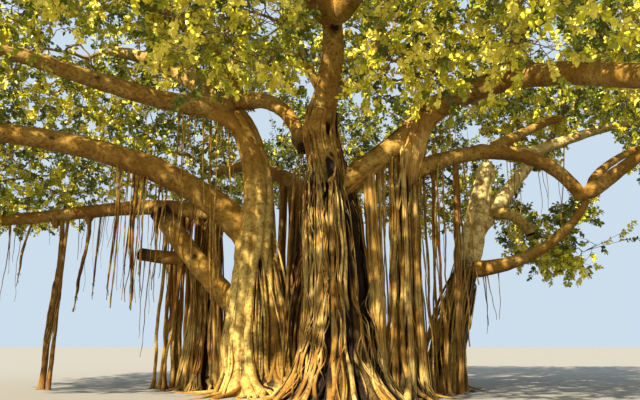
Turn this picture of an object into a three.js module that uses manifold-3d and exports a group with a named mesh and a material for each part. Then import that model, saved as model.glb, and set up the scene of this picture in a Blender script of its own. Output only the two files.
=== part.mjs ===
// A broad old banyan tree: fused trunks of pleated aerial roots, long level boughs,
// hanging and prop roots, and a wide crown of leaf masses.
// Millimetres and degrees, +Z up, ground at z = 0, origin in the foot of the main trunk.
// +X is to the right of a viewer in front of the tree, +Y is away from that viewer.
// A heading is measured from +X towards +Y, and a climb is measured above the horizon.
import * as THREE from "three";
import { mergeVertices } from "three/addons/utils/BufferGeometryUtils.js";
import Module from "manifold-3d";

const wasm = await Module();
wasm.setup();

// Driving sizes
const SEED = 71;
const SEAT_GAP = 0.3; // clearance where one piece is seated on another
const BELOW_GROUND = 400; // how far stems run down before the flat cut at ground level
const FLARE_HEIGHT = 700; // height over which a foot spreads to its full width
const STRAND_COLUMNS = 3; // points round a trunk for each strand: its valley and its two shoulders
const TRUNK_STEPS = 9;
const PILLAR_SIDES = 5;
const LIMB_SIDES = 6;
const LIMB_STEPS = 5;
const ROOT_SIDES = 4;
const COLLAR = 0.3; // extra thickness of a limb where it leaves its parent
const COLLAR_LENGTH = 900;
const SPACE_MARGIN = 60; // half the clear way kept between two masses
const SHELL = 0.7; // leaves end beyond this share of their mass's half size
const TIP_MARGIN = 150; // least way between a leaf's tip and the edge of its mass's space
const LIMB_CLEARANCE = 60; // clear way kept between a leaf and any limb
const FREE_LEAF_FACES = 26; // most faces that a leaf adds where only its root meets the rest
const LEAF_ROLL = 1.1; // most that a leaf is turned about its own length, in radians
const SPRAY_WIDTH = 0.56; // width of that leaf as a share of its length
const SPRAY_THICKNESS = 0.035; // thickness of that leaf as a share of its length
const LEAST_LEAVES = 8;
const LEAF_SPACING = 450; // half size of a mass for each leaf that it has beyond the least
const LEAVES_PER_TWIG = 8;
const TWIG_REACH = 0.8; // how far a last twig runs on its way to the middle of its targets
const FORK_REACH = 0.6; // the same for a twig that forks
const STEM_RADIUS = 120; // radius of a mass's stem where it meets its bough
const TWIG_TIP_RADIUS = 26;

// Trunks. Radii run from the ground to the top, strands are the aerial roots fused round the core,
// and a pillar is a separate root stem fused to the trunk at its ends.
const TRUNKS = [
  {
    name: "main_trunk",
    start: [-200, 0, 0],
    length: 8350,
    heading: [180, 180, 190],
    climb: [90, 87, 82],
    radii: [1180, 960, 900, 640],
    flare: 420,
    strands: { count: 10, depth: 260, turn: 22, toe: 420 },
    pillars: [
      { foot: [1010, -160], top: [480, 250, 7700], radius: 230 },
      { foot: [-1330, 560], top: [-800, 200, 3900], radius: 240 },
    ],
  },
  {
    name: "left_trunk",
    start: [-3090, 2010, 0],
    length: 10250,
    heading: [171, 161, 201],
    climb: [76, 95, 51],
    radii: [560, 440, 520, 400],
    flare: 300,
    strands: { count: 7, depth: 170, turn: 14, toe: 560 },
    pillars: [
      { foot: [-2240, 2000], top: [-2750, 2200, 6600], radius: 330 },
      { foot: [-1800, 1800], top: [-2450, 2150, 4700], radius: 140 },
    ],
  },
  {
    name: "right_trunk",
    start: [1850, 510, 0],
    length: 9500,
    heading: [183, 5, 19],
    climb: [89, 86, 69],
    radii: [430, 310, 350, 400],
    flare: 260,
    strands: { count: 6, depth: 130, turn: 20, toe: 360 },
    pillars: [],
  },
  {
    name: "left_root_column",
    start: [-5150, 4400, 0],
    length: 7300,
    heading: [20, 0, -60],
    climb: [90, 88, 84],
    radii: [420, 330, 360, 380],
    flare: 260,
    strands: { count: 5, depth: 140, turn: 14, toe: 420 },
    pillars: [
      { foot: [-4450, 4000], top: [-4750, 2600, 7000], radius: 170 },
      { foot: [-5900, 4100], top: [-5150, 4250, 6300], radius: 130 },
    ],
  },
  {
    name: "rear_right_trunk",
    start: [3620, 4200, 0],
    length: 9600,
    heading: [12, 29, 30],
    climb: [73, 72, 71],
    radii: [600, 540, 440, 330],
    flare: 320,
    strands: { count: 6, depth: 150, turn: 16, toe: 420 },
    pillars: [],
  },
  {
    name: "rear_trunk",
    start: [-500, 3200, 0],
    length: 8200,
    heading: [90, 80, 70],
    climb: [88, 86, 80],
    radii: [1050, 760, 700, 560],
    flare: 420,
    strands: { count: 7, depth: 220, turn: 18, toe: 480 },
    pillars: [],
  },
];

// Limbs, in the order in which each is seated on those before it. A start is a point inside the
// parent, or { end: name } for the end of an earlier limb.
const LIMBS = [
  { name: "central_limb", start: [-980, -180, 8000], length: 4000, heading: [-24, -60, -107], climb: [76, 67, 63], radii: [470, 320] },
  { name: "central_left_arm", start: { end: "central_limb" }, length: 7200, heading: [-123, -118, -112], climb: [22, 20, -6], radii: [350, 190] },
  { name: "central_right_arm", start: { end: "central_limb" }, length: 7200, heading: [-46, -56, -60], climb: [30, 20, -8], radii: [350, 190] },
  { name: "central_right_branch", start: [-330, -330, 9600], length: 5600, heading: [42, 50, 67], climb: [37, 57, 74], radii: [240, 150] },
  { name: "central_left_branch", start: [-780, -480, 9600], length: 2300, heading: [-148, -151, -156], climb: [68, 58, 48], radii: [130, 90] },
  { name: "left_upper_bough", start: [-3900, 1800, 10000], length: 10400, heading: [-159, -161, -150], climb: [-8, 13, -4], radii: [370, 210] },
  { name: "left_high_bough", start: [-3800, 2200, 10050], length: 7200, heading: [150, 156, 165], climb: [34, 34, 14], radii: [400, 230] },
  { name: "left_top_bough", start: [-3750, 1650, 10000], length: 7000, heading: [-141, -143, -138], climb: [88, 19, 2], radii: [240, 150] },
  { name: "crown_left_bough", start: [-3850, 1950, 10100], length: 3700, heading: [110, 105, 100], climb: [74, 66, 58], radii: [260, 170] },
  { name: "left_arch_limb", start: [-3800, 1800, 10150], length: 4150, heading: [-31, -34, -36], climb: [12, -40, -76], radii: [270, 220] },
  { name: "left_lower_bough", start: [-3300, 2200, 5300], length: 12200, heading: [181, 198, 178], climb: [52, 11, 8], radii: [500, 270] },
  { name: "left_cut_stub", start: [-3300, 2550, 2600], length: 5200, heading: [172, 172, 174], climb: [38, 49, 53], radii: [360, 380] },
  { name: "left_rear_bough", start: [-5000, 4150, 6500], length: 9300, heading: [160, 177, 190], climb: [20, -5, -3], radii: [330, 210] },
  { name: "left_level_stub", start: [-5000, 4300, 4750], length: 2850, heading: [176, 175, 175], climb: [7, 5, 11], radii: [260, 240] },
  { name: "right_shoulder_bough", start: [100, 100, 6900], length: 3700, heading: [10, 14, 20], climb: [30, 42, 48], radii: [330, 300] },
  { name: "right_upper_bough", start: [2600, 880, 9150], length: 10400, heading: [-14, -63, -76], climb: [39, -20, -14], radii: [400, 300] },
  { name: "right_upper_branch", start: [5000, -1300, 9900], length: 1500, heading: [-60, -62, -64], climb: [60, 50, 30], radii: [150, 110] },
  { name: "right_lower_bough", start: [2200, 1150, 7400], length: 7300, heading: [15, 10, -18], climb: [22, 2, -70], radii: [290, 230] },
  { name: "right_elbow_bough", start: { end: "right_lower_bough" }, length: 5000, heading: [-10, -29, -34], climb: [29, 34, 16], radii: [240, 160] },
  { name: "right_elbow_fork", start: [8850, 2000, 7150], length: 4600, heading: [32, 21, 16], climb: [47, 27, 20], radii: [150, 110] },
  { name: "rear_low_bough", start: [4900, 4560, 4460], length: 5380, heading: [-12.9, -34.8, -60.6], climb: [-0.7, 23.9, 52.3], radii: [290, 120] },
  { name: "right_pale_branch", start: [5900, 2080, 8300], length: 7400, heading: [34, 19, 18], climb: [10, 22, 4], radii: [230, 150] },
  { name: "right_olive_branch", start: [5350, 1800, 8500], length: 4900, heading: [35, 36, 33], climb: [24, 27, 19], radii: [200, 140] },
  { name: "rear_right_branch", start: [5350, 4950, 6050], length: 6600, heading: [29, 33, 27], climb: [38, 44, 40], radii: [360, 220] },
  { name: "rear_short_branch", start: [6000, 5150, 6650], length: 2100, heading: [-31, -28, -38], climb: [28, -30, -70], radii: [220, 190] },
  { name: "rear_left_bough", start: [-800, 3700, 6800], length: 8600, heading: [136, 130, 124], climb: [44, 20, 2], radii: [340, 190] },
  { name: "rear_bough", start: [-300, 3800, 7300], length: 8200, heading: [88, 92, 96], climb: [50, 22, 0], radii: [340, 190] },
  { name: "rear_right_bough", start: [0, 3700, 7000], length: 8800, heading: [40, 56, 64], climb: [52, 18, -2], radii: [320, 180] },
];

// Root stems that hang from a limb, part of the way along it, or stand under it as props. The ones
// of a group are fused in a collar where they leave the limb.
const ROOTS = [
  {
    name: "hanging_roots_left",
    on: "left_lower_bough",
    at: 0.385,
    collar: 260,
    stems: [
      { foot: [-7420, 1350, 3060], radius: 45 },
      { foot: [-6840, 1400, 3130], radius: 45 },
      { foot: [-7150, 1500, 2730], radius: 110 },
      { foot: [-7950, 1500, 3070], radius: 60 },
    ],
  },
  {
    name: "hanging_roots_far_left",
    on: "left_rear_bough",
    at: 0.57,
    collar: 240,
    stems: [
      { foot: [-10140, 4300, 2820], radius: 100 },
      { foot: [-9500, 4400, 3300], radius: 60 },
    ],
  },
  {
    name: "prop_roots_far_left",
    on: "left_rear_bough",
    at: 0.71,
    collar: 240,
    stems: [
      { foot: [-11120, 4400, -BELOW_GROUND], radius: 120 },
      { foot: [-10800, 4300, -BELOW_GROUND], radius: 80 },
      { foot: [-12450, 4350, 3800], radius: 60 },
    ],
  },
  {
    name: "prop_root_left",
    on: "left_level_stub",
    at: 0.7,
    collar: 120,
    stems: [{ foot: [-6130, 4350, -BELOW_GROUND], radius: 100 }],
  },
  {
    name: "prop_root_right",
    on: "right_lower_bough",
    at: 0.25,
    collar: 110,
    stems: [{ foot: [3890, 2100, -BELOW_GROUND], radius: 120 }],
  },
];

// Leaf masses. Each grows from the tip of a limb, or from a side shoot part of the way along it,
// round a centre of its own.
const MASSES = [
  { name: "foliage_front_left", on: "central_left_arm", centre: [-5000, -9000, 12000], half: [4800, 4500, 2800] },
  { name: "foliage_front_right", on: "central_right_arm", centre: [4200, -8900, 12100], half: [4600, 4500, 2800] },
  { name: "foliage_top_right", on: "central_right_branch", centre: [2300, 1800, 15600], half: [4900, 4900, 2800] },
  { name: "foliage_inner_left", on: "central_left_branch", centre: [-3600, -1900, 11300], half: [3200, 2700, 2800] },
  { name: "foliage_inner_right", on: "central_limb", at: 0.42, side: -25, centre: [1800, -2300, 10900], half: [2700, 2300, 2500] },
  { name: "foliage_left_front", on: "left_upper_bough", centre: [-14400, -4600, 11100], half: [3800, 4600, 3100] },
  { name: "foliage_left_high", on: "left_high_bough", centre: [-11100, 5300, 13400], half: [4700, 4500, 3000] },
  { name: "foliage_left_top", on: "left_top_bough", centre: [-9300, -4700, 13500], half: [4600, 4800, 2800] },
  { name: "foliage_crown_left", on: "crown_left_bough", centre: [-4700, 3100, 15200], half: [4800, 4800, 2800] },
  { name: "foliage_left", on: "left_lower_bough", centre: [-15400, 1400, 9000], half: [3300, 3500, 2700] },
  { name: "foliage_left_rear", on: "left_rear_bough", centre: [-14300, 7500, 9000], half: [3900, 4100, 2600] },
  { name: "foliage_right_front", on: "right_upper_bough", centre: [9500, -8800, 10100], half: [4400, 4700, 2900] },
  { name: "foliage_inner_front", on: "right_upper_branch", centre: [5800, -3100, 11300], half: [3500, 2700, 2200] },
  { name: "foliage_right", on: "right_elbow_bough", centre: [13700, -2600, 10300], half: [3900, 4300, 2900] },
  { name: "foliage_right_mid", on: "right_pale_branch", centre: [14600, 4200, 10400], half: [3400, 3600, 2800] },
  { name: "foliage_right_high", on: "right_olive_branch", centre: [9200, 4500, 12900], half: [4700, 4200, 2800] },
  { name: "foliage_rear_right", on: "rear_right_branch", centre: [11100, 10200, 12700], half: [4500, 4000, 2700] },
  { name: "foliage_rear_low", on: "rear_low_bough", at: 0.5, side: 52, centre: [9600, 6700, 6600], half: [2900, 2600, 2200] },
  { name: "foliage_rear_left", on: "rear_left_bough", centre: [-7700, 11100, 11600], half: [4800, 4300, 2900] },
  { name: "foliage_rear", on: "rear_bough", centre: [-900, 12800, 11600], half: [4600, 4000, 2900] },
  { name: "foliage_rear_right_low", on: "rear_right_bough", centre: [5200, 12500, 10400], half: [4300, 3900, 2900] },
];

// Colours and finishes
const TRUNK_BARK = new THREE.MeshStandardMaterial({ color: 0x99784f, roughness: 0.9, metalness: 0 });
const BOUGH_BARK = new THREE.MeshStandardMaterial({ color: 0xa88a5e, roughness: 0.85, metalness: 0 });
const ROOT_BARK = new THREE.MeshStandardMaterial({ color: 0x86623c, roughness: 0.92, metalness: 0 });
const LEAF = new THREE.MeshStandardMaterial({ color: 0x6b7f22, roughness: 0.5, metalness: 0 });

const UP = new THREE.Vector3(0, 0, 1);
const vec = (list) => new THREE.Vector3(...list);
const mix = THREE.MathUtils.lerp;

// A stream of numbers from 0 to 1 that is the same each time for one seed.
function randomStream(seed) {
  let state = (seed * 2654435761) >>> 0;
  return () => {
    state = (state + 0x6d2b79f5) >>> 0;
    let word = Math.imul(state ^ (state >>> 15), state | 1);
    word ^= word + Math.imul(word ^ (word >>> 7), word | 61);
    return ((word ^ (word >>> 14)) >>> 0) / 4294967296;
  };
}

// The value at share s, from 0 to 1, of a smooth change through first, middle and last.
function throughThree([first, middle, last], s) {
  return first * (1 - s) * (1 - 2 * s) + middle * 4 * s * (1 - s) + last * s * (2 * s - 1);
}

// The value at share s along a list of evenly spaced values.
function along(list, s) {
  const at = Math.min(s, 1) * (list.length - 1);
  const below = Math.min(Math.floor(at), list.length - 2);
  return mix(list[below], list[below + 1], at - below);
}

function direction(heading, climb) {
  const [h, c] = [heading, climb].map(THREE.MathUtils.degToRad);
  return new THREE.Vector3(Math.cos(h) * Math.cos(c), Math.sin(h) * Math.cos(c), Math.sin(c));
}

// The points of a stem that grows from a start, turning smoothly through its headings and climbs.
function growPath({ start, length, heading, climb }, steps) {
  const points = [start.clone()];
  for (let i = 0; i < steps; i++) {
    const s = (i + 0.5) / steps;
    const step = direction(throughThree(heading, s), throughThree(climb, s));
    points.push(points[i].clone().addScaledVector(step, length / steps));
  }
  return points;
}

function pointOn(points, s) {
  const at = Math.min(Math.max(s, 0), 1) * (points.length - 1);
  const below = Math.min(Math.floor(at), points.length - 2);
  return points[below].clone().lerp(points[below + 1], at - below);
}

function endDirection(points) {
  return points.at(-1).clone().sub(points.at(-2)).normalize();
}

// The same path, longer by an allowance at both ends.
function lengthened(points, allowance) {
  const ends = [points[0].clone(), points.at(-1).clone()];
  ends[0].addScaledVector(points[0].clone().sub(points[1]).normalize(), allowance);
  ends[1].addScaledVector(endDirection(points), allowance);
  return [ends[0], ...points.slice(1, -1), ends[1]];
}

// A closed geometry as a solid that can be joined and cut.
function solidFrom(geometry) {
  geometry.deleteAttribute("normal");
  geometry.deleteAttribute("uv");
  const merged = mergeVertices(geometry, 1e-3);
  return new wasm.Manifold(
    new wasm.Mesh({
      numProp: 3,
      vertProperties: merged.attributes.position.array,
      triVerts: new Uint32Array(merged.index.array),
    }),
  );
}

// A cylinder bent along a path: each of its rings is set square to the path. The radius is worked
// out from the share of the path and the column, and turnAt gives the angle of a column, in turns.
function bentCylinder(points, radiusAt, sides, turnAt = (s, column) => column / sides) {
  const steps = points.length - 1;
  const frames = [];
  let side = new THREE.Vector3(1, 0, 0);
  for (let i = 0; i <= steps; i++) {
    const ahead = points[Math.min(i + 1, steps)];
    const tangent = ahead.clone().sub(points[Math.max(i - 1, 0)]).normalize();
    if (Math.abs(side.dot(tangent)) > 0.9) side = new THREE.Vector3(0, 1, 0);
    side = side.clone().addScaledVector(tangent, -side.dot(tangent)).normalize();
    frames.push({ side, other: tangent.clone().cross(side) });
  }
  const geometry = new THREE.CylinderGeometry(1, 1, steps, sides, steps);
  const position = geometry.attributes.position;
  for (let i = 0; i < position.count; i++) {
    const ring = Math.round(position.getY(i) + steps / 2);
    const placed = points[ring].clone();
    if (Math.hypot(position.getX(i), position.getZ(i)) > 0.5) {
      const share = Math.atan2(position.getX(i), position.getZ(i)) / (2 * Math.PI);
      const column = Math.round((share + 1) * sides) % sides;
      const radius = radiusAt(ring / steps, column);
      const angle = 2 * Math.PI * turnAt(ring / steps, column);
      placed.addScaledVector(frames[ring].side, Math.cos(angle) * radius);
      placed.addScaledVector(frames[ring].other, Math.sin(angle) * radius);
    }
    position.setXYZ(i, placed.x, placed.y, placed.z);
  }
  return solidFrom(geometry);
}

// How far a foot has spread at a height: 1 at the ground, fading to 0 above it.
const spread = (height) => Math.exp(-Math.max(height, 0) / FLARE_HEIGHT);

// A trunk: one pleated surface of strands, each with a valley before it and a toe at the ground,
// and the pillars that stand by it.
function trunkSolid(trunk, grow) {
  const random = randomStream(SEED + trunk.length);
  const path = growPath({ ...trunk, start: vec(trunk.start) }, TRUNK_STEPS);
  path[0].z = -BELOW_GROUND;
  path[1].lerp(path[0], 0.35);
  const { count, depth, turn, toe } = trunk.strands;
  const strands = Array.from({ length: count }, (_, k) => ({
    from: (k + 0.1 * (random() - 0.5)) / count,
    wide: 0.62 + 0.16 * random(),
    thick: 0.6 + 0.8 * random(),
    phase: random() * 2 * Math.PI,
  }));
  const radiusAt = (s, column) => {
    const strand = strands[Math.floor(column / STRAND_COLUMNS)];
    const foot = spread(pointOn(path, s).z);
    const pleat = column % STRAND_COLUMNS ? strand.thick : 0;
    const height = depth * pleat * (1 - 0.5 * s) + toe * strand.thick * foot * (pleat ? 1 : 0.25);
    return along(trunk.radii, s) - depth * 0.4 + trunk.flare * foot + height + grow;
  };
  const turnAt = (s, column) => {
    const strand = strands[Math.floor(column / STRAND_COLUMNS)];
    const within = [0, 0.5 - strand.wide * 0.32, 0.5 + strand.wide * 0.32][column % STRAND_COLUMNS];
    const sway = (turn / 360) * (0.6 * s + 0.08 * Math.sin(5 * s + strand.phase));
    return strand.from + within / count + sway;
  };
  const parts = [bentCylinder(lengthened(path, grow), radiusAt, count * STRAND_COLUMNS, turnAt)];
  for (const { foot, top, radius } of trunk.pillars) {
    const base = new THREE.Vector3(...foot, -BELOW_GROUND);
    const points = [0, 0.12, 0.3, 0.65, 1].map((s) => base.clone().lerp(vec(top), s));
    const radiusAtShare = (s) => radius * (1 + 0.9 * Math.exp(-s * 6)) + grow;
    parts.push(bentCylinder(lengthened(points, grow), radiusAtShare, PILLAR_SIDES));
  }
  return wasm.Manifold.union(parts).trimByPlane([0, 0, 1], 0);
}

function limbRadius(limb, s) {
  return mix(limb.radii[0], limb.radii[1], s) * (1 + COLLAR * Math.exp((-s * limb.length) / COLLAR_LENGTH));
}

function rootSolid(root, head, grow) {
  const parts = root.stems.map(({ foot, radius }, i) => {
    const points = [0, 0.3, 0.65, 0.88, 1].map((s) => {
      const point = head.clone().lerp(vec(foot), s);
      const bulge = Math.sin(Math.PI * Math.min(1, s * 1.4)) * root.collar * 0.6;
      return point.addScaledVector(direction(90 * i, 0), bulge);
    });
    const standing = foot[2] < 0;
    const swell = (s) => (standing ? 1 + 1.2 * Math.exp(-(1 - s) * 12) : 1 - 0.55 * s);
    return bentCylinder(lengthened(points, grow), (s) => radius * swell(s) + grow, ROOT_SIDES);
  });
  const knot = [head, head.clone().addScaledVector(UP, -root.collar * 2.4)];
  parts.push(bentCylinder(lengthened(knot, grow), (s) => root.collar * (1 - 0.5 * s) + grow, LIMB_SIDES));
  return wasm.Manifold.union(parts).trimByPlane([0, 0, 1], 0);
}

// What is left of a solid once it is seated on its neighbours, without the scraps.
function seated(solid, neighbours) {
  const box = solid.boundingBox();
  const near = neighbours.filter(({ boundingBox: other }) =>
    [0, 1, 2].every((axis) => box.min[axis] <= other.max[axis] && box.max[axis] >= other.min[axis]),
  );
  if (!near.length) return solid;
  const cut = solid.subtract(wasm.Manifold.union(near.map((item) => item.grown)));
  return cut.decompose().sort((a, b) => b.volume() - a.volume())[0];
}

// A mass's own space: an ellipsoid, cut off midway to each neighbour's centre and under the ground.
function massSpace(mass) {
  const centre = vec(mass.centre);
  const half = vec(mass.half);
  const walls = MASSES.filter((other) => other !== mass).map((other) => {
    const way = vec(other.centre).sub(centre);
    const own = half.clone().multiply(way.clone().normalize()).length();
    const theirs = vec(other.half).multiply(way.clone().normalize()).length();
    return { normal: way.clone().normalize(), limit: (way.length() * own) / (own + theirs) - SPACE_MARGIN };
  });
  const holds = (point, room = 0) => {
    const from = point.clone().sub(centre);
    const share = from.clone().divide(half.clone().subScalar(room)).length();
    return share < 1 && walls.every(({ normal, limit }) => from.dot(normal) < limit - room);
  };
  return { centre, half, holds };
}

// Clear way between a point and the surfaces of the limbs and trunks, by their centre lines.
function clearOfLimbs(point, lines) {
  let nearest = Infinity;
  for (const { points, radius } of lines) {
    for (let i = 0; i + 1 < points.length; i++) {
      const part = new THREE.Line3(points[i], points[i + 1]);
      const gap = part.closestPointToPoint(point, true, new THREE.Vector3()).distanceTo(point);
      nearest = Math.min(nearest, gap - radius);
    }
  }
  return nearest;
}

// Seeded places spread evenly through the outer part of a space: each is the farthest from the rest
// of several tries.
function spreadTargets(space, count, random) {
  const chosen = [];
  while (chosen.length < count) {
    let best = null;
    let bestGap = -1;
    for (let tries = 0; tries < 24; tries++) {
      const way = new THREE.Vector3(random() * 2 - 1, random() * 2 - 1, random() * 2 - 1);
      if (way.length() > 1 || way.length() < SHELL) continue;
      const point = way.multiply(space.half).add(space.centre);
      if (!space.holds(point, TIP_MARGIN)) continue;
      const gap = Math.min(1e6, ...chosen.map((other) => other.distanceTo(point)));
      if (gap > bestGap) [best, bestGap] = [point, gap];
    }
    if (best) chosen.push(best);
  }
  return chosen;
}

// Halves a group of targets across the direction in which it spreads most.
function halves(targets) {
  const middle = targets.reduce((sum, p) => sum.add(p), new THREE.Vector3()).divideScalar(targets.length);
  const spreads = ["x", "y", "z"].map((axis) => Math.max(...targets.map((p) => Math.abs(p[axis] - middle[axis]))));
  const axis = ["x", "y", "z"][spreads.indexOf(Math.max(...spreads))];
  const sorted = [...targets].sort((a, b) => a[axis] - b[axis]);
  const cut = Math.ceil(sorted.length / 2);
  return [sorted.slice(0, cut), sorted.slice(cut)];
}

const middleOf = (targets) =>
  targets.reduce((sum, p) => sum.add(p), new THREE.Vector3()).divideScalar(targets.length);

// The twigs of a mass: a stem forks towards the halves of its targets until few are left.
function growTwigs(from, way, targets, radius, twigs) {
  const middle = middleOf(targets);
  if (targets.length <= LEAVES_PER_TWIG) {
    const end = from.clone().lerp(middle, TWIG_REACH);
    twigs.push({ from, to: end, radii: [radius, TWIG_TIP_RADIUS], targets });
    return;
  }
  const reach = middle.distanceTo(from);
  const bend = middle.clone().sub(from).normalize().multiplyScalar(0.75).addScaledVector(way, 0.25).normalize();
  const fork = from.clone().addScaledVector(bend, reach * FORK_REACH);
  const thinner = Math.max(radius * 0.74, TWIG_TIP_RADIUS * 1.4);
  twigs.push({ from, to: fork, radii: [radius, thinner], targets: [] });
  for (const half of halves(targets)) growTwigs(fork, bend, half, thinner, twigs);
}

// The directions of a leaf: along it, across its blade, and out of its face.
function leafFrame(root, tip, roll) {
  const way = tip.clone().sub(root).normalize();
  const across = way.clone().cross(UP).normalize().applyAxisAngle(way, roll);
  return { way, across, normal: way.clone().cross(across) };
}

// One leaf of eight faces, which stands for a spray: a flattened octahedron from root to tip.
function leafSolid(root, tip, { way, across, normal }) {
  const length = root.distanceTo(tip);
  const geometry = new THREE.OctahedronGeometry(0.5, 0);
  geometry.scale(length, length * SPRAY_WIDTH, length * SPRAY_THICKNESS);
  geometry.applyMatrix4(new THREE.Matrix4().makeBasis(way, across, normal));
  const middle = root.clone().lerp(tip, 0.5);
  geometry.translate(middle.x, middle.y, middle.z);
  return solidFrom(geometry);
}

// The mass with one more leaf, or null where the leaf would meet a limb or another leaf, or would
// leave the mass's own space.
function withLeaf(solid, root, tip, roll, space, lines) {
  const frame = leafFrame(root, tip, roll);
  const middle = root.clone().lerp(tip, 0.5);
  const reach = root.distanceTo(tip) * SPRAY_WIDTH * 0.5;
  const corners = [-reach, reach].map((side) => middle.clone().addScaledVector(frame.across, side));
  if (!corners.every((corner) => space.holds(corner))) return null;
  if ([...corners, middle, tip].some((point) => clearOfLimbs(point, lines) < LIMB_CLEARANCE)) return null;
  const grown = solid.add(leafSolid(root, tip, frame));
  return grown.numTri() - solid.numTri() > FREE_LEAF_FACES ? null : grown;
}

// A mass of leaves: its twigs, with a leaf from a twig to each target, fused into one solid. A twig
// that would meet a limb is left out with all that it bears.
function massSolid(mass, index, lines) {
  const random = randomStream(SEED * 31 + index);
  const space = massSpace(mass);
  const limb = lines.find((line) => line.name === mass.on);
  const onSide = mass.at !== undefined;
  const way = onSide ? direction(mass.side, 0) : endDirection(limb.points);
  const tip = limb.points.at(-1).clone().addScaledVector(way, SEAT_GAP);
  const root = onSide ? pointOn(limb.points, mass.at) : tip;
  const size = Math.cbrt(mass.half[0] * mass.half[1] * mass.half[2]);
  const count = Math.round(LEAST_LEAVES + size / LEAF_SPACING);
  const twigs = [];
  const stem = Math.min(STEM_RADIUS, limb.tipRadius * 0.8);
  growTwigs(root, way, spreadTargets(space, count, random), stem, twigs);
  const kept = twigs.filter(({ from, to, radii }) => {
    const samples = [0.25, 0.5, 0.75, 1].map((s) => from.clone().lerp(to, s));
    return from === root || samples.every((p) => clearOfLimbs(p, lines) > radii[0] + LIMB_CLEARANCE);
  });
  const borne = kept.filter(({ from }) => from === root || kept.some((other) => other.to === from));
  let solid = wasm.Manifold.union(
    borne.map(({ from, to, radii }) => {
      const start = from === root ? from : from.clone().lerp(to, -0.02);
      return bentCylinder([start, to], (s) => mix(...radii, s), 3);
    }),
  );
  for (const { from, to, targets } of borne) {
    targets.forEach((target, i) => {
      const leafRoot = from.clone().lerp(to, 0.2 + (0.76 * (i + 1)) / targets.length);
      const roll = LEAF_ROLL * (2 * random() - 1);
      const grown =
        withLeaf(solid, leafRoot, target, roll, space, lines) || withLeaf(solid, leafRoot, target, -roll, space, lines);
      solid = grown || solid;
    });
  }
  return solid;
}

// Turns a finished solid into a named mesh of the tree.
function meshOf(name, solid, material) {
  const { vertProperties, triVerts, numProp } = solid.getMesh();
  const geometry = new THREE.BufferGeometry();
  const positions = new Float32Array((vertProperties.length / numProp) * 3);
  for (let i = 0; i < positions.length / 3; i++) {
    positions.set(vertProperties.subarray(i * numProp, i * numProp + 3), i * 3);
  }
  geometry.setAttribute("position", new THREE.BufferAttribute(positions, 3));
  geometry.setIndex(new THREE.BufferAttribute(triVerts, 1));
  geometry.computeVertexNormals();
  const mesh = new THREE.Mesh(geometry, material);
  mesh.name = name;
  return mesh;
}

const banyan = new THREE.Group();
const placed = []; // each finished piece, grown by the seat gap, to seat the next ones on
const lines = []; // centre lines of trunks and limbs, which leaves keep clear of

function place(name, build, material) {
  const solid = seated(build(0), placed);
  const grown = build(SEAT_GAP);
  placed.push({ grown, boundingBox: grown.boundingBox() });
  banyan.add(meshOf(name, solid, material));
}

for (const trunk of TRUNKS) {
  const points = growPath({ ...trunk, start: vec(trunk.start) }, TRUNK_STEPS);
  lines.push({ name: trunk.name, points, radius: Math.max(...trunk.radii.slice(1)) + trunk.strands.depth });
  place(trunk.name, (grow) => trunkSolid(trunk, grow), TRUNK_BARK);
}

for (const limb of LIMBS) {
  const parent = limb.start.end && lines.find((line) => line.name === limb.start.end);
  const start = parent ? parent.points.at(-1) : vec(limb.start);
  const points = growPath({ ...limb, start }, LIMB_STEPS);
  lines.push({ name: limb.name, points, radius: limb.radii[0], tipRadius: limb.radii[1] });
  const build = (grow) => bentCylinder(lengthened(points, grow), (s) => limbRadius(limb, s) + grow, LIMB_SIDES);
  place(limb.name, build, BOUGH_BARK);
}

for (const root of ROOTS) {
  const head = pointOn(lines.find((line) => line.name === root.on).points, root.at);
  root.stems.forEach(({ foot, radius }) => {
    lines.push({ name: root.name, points: [head, vec(foot)], radius: radius + root.collar });
  });
  place(root.name, (grow) => rootSolid(root, head, grow), ROOT_BARK);
}

MASSES.forEach((mass, index) => {
  banyan.add(meshOf(mass.name, seated(massSolid(mass, index, lines), placed), LEAF));
});

export default banyan;
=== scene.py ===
"""A broad old banyan: ropey trunks of fused aerial roots, long limbs, hanging roots and a wide crown.

Metres and degrees, +Z up, the ground at z = 0, the origin in the foot of the main trunk. +X is to the
right of a viewer in front of the tree and +Y is away from that viewer. A heading is measured from +X
towards +Y, and a climb is measured above the horizon. A share runs from 0 at the start of a stem to 1
at its end, and a turn runs from 0 to 1 round it.
"""

from collections import namedtuple
from math import radians

import bpy
import numpy as np
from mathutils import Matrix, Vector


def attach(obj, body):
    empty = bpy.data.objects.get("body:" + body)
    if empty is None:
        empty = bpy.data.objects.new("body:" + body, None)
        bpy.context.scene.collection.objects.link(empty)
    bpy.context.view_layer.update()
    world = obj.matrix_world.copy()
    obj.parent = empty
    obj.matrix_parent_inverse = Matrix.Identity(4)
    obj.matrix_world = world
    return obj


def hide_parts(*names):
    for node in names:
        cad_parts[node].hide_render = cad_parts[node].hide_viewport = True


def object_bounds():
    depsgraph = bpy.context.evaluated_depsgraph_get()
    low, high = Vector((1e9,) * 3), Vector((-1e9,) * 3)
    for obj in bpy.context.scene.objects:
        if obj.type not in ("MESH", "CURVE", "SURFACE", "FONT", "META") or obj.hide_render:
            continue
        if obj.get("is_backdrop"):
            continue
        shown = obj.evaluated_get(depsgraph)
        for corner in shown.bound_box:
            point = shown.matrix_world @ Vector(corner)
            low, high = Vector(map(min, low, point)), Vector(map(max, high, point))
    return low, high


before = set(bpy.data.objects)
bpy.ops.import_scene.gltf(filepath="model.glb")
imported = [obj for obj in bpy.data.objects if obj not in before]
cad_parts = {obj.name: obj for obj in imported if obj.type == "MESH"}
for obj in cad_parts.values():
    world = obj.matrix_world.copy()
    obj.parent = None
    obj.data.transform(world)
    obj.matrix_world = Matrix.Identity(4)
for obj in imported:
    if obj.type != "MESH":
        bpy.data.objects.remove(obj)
solid_low, solid_high = (np.array(corner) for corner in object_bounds())

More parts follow.
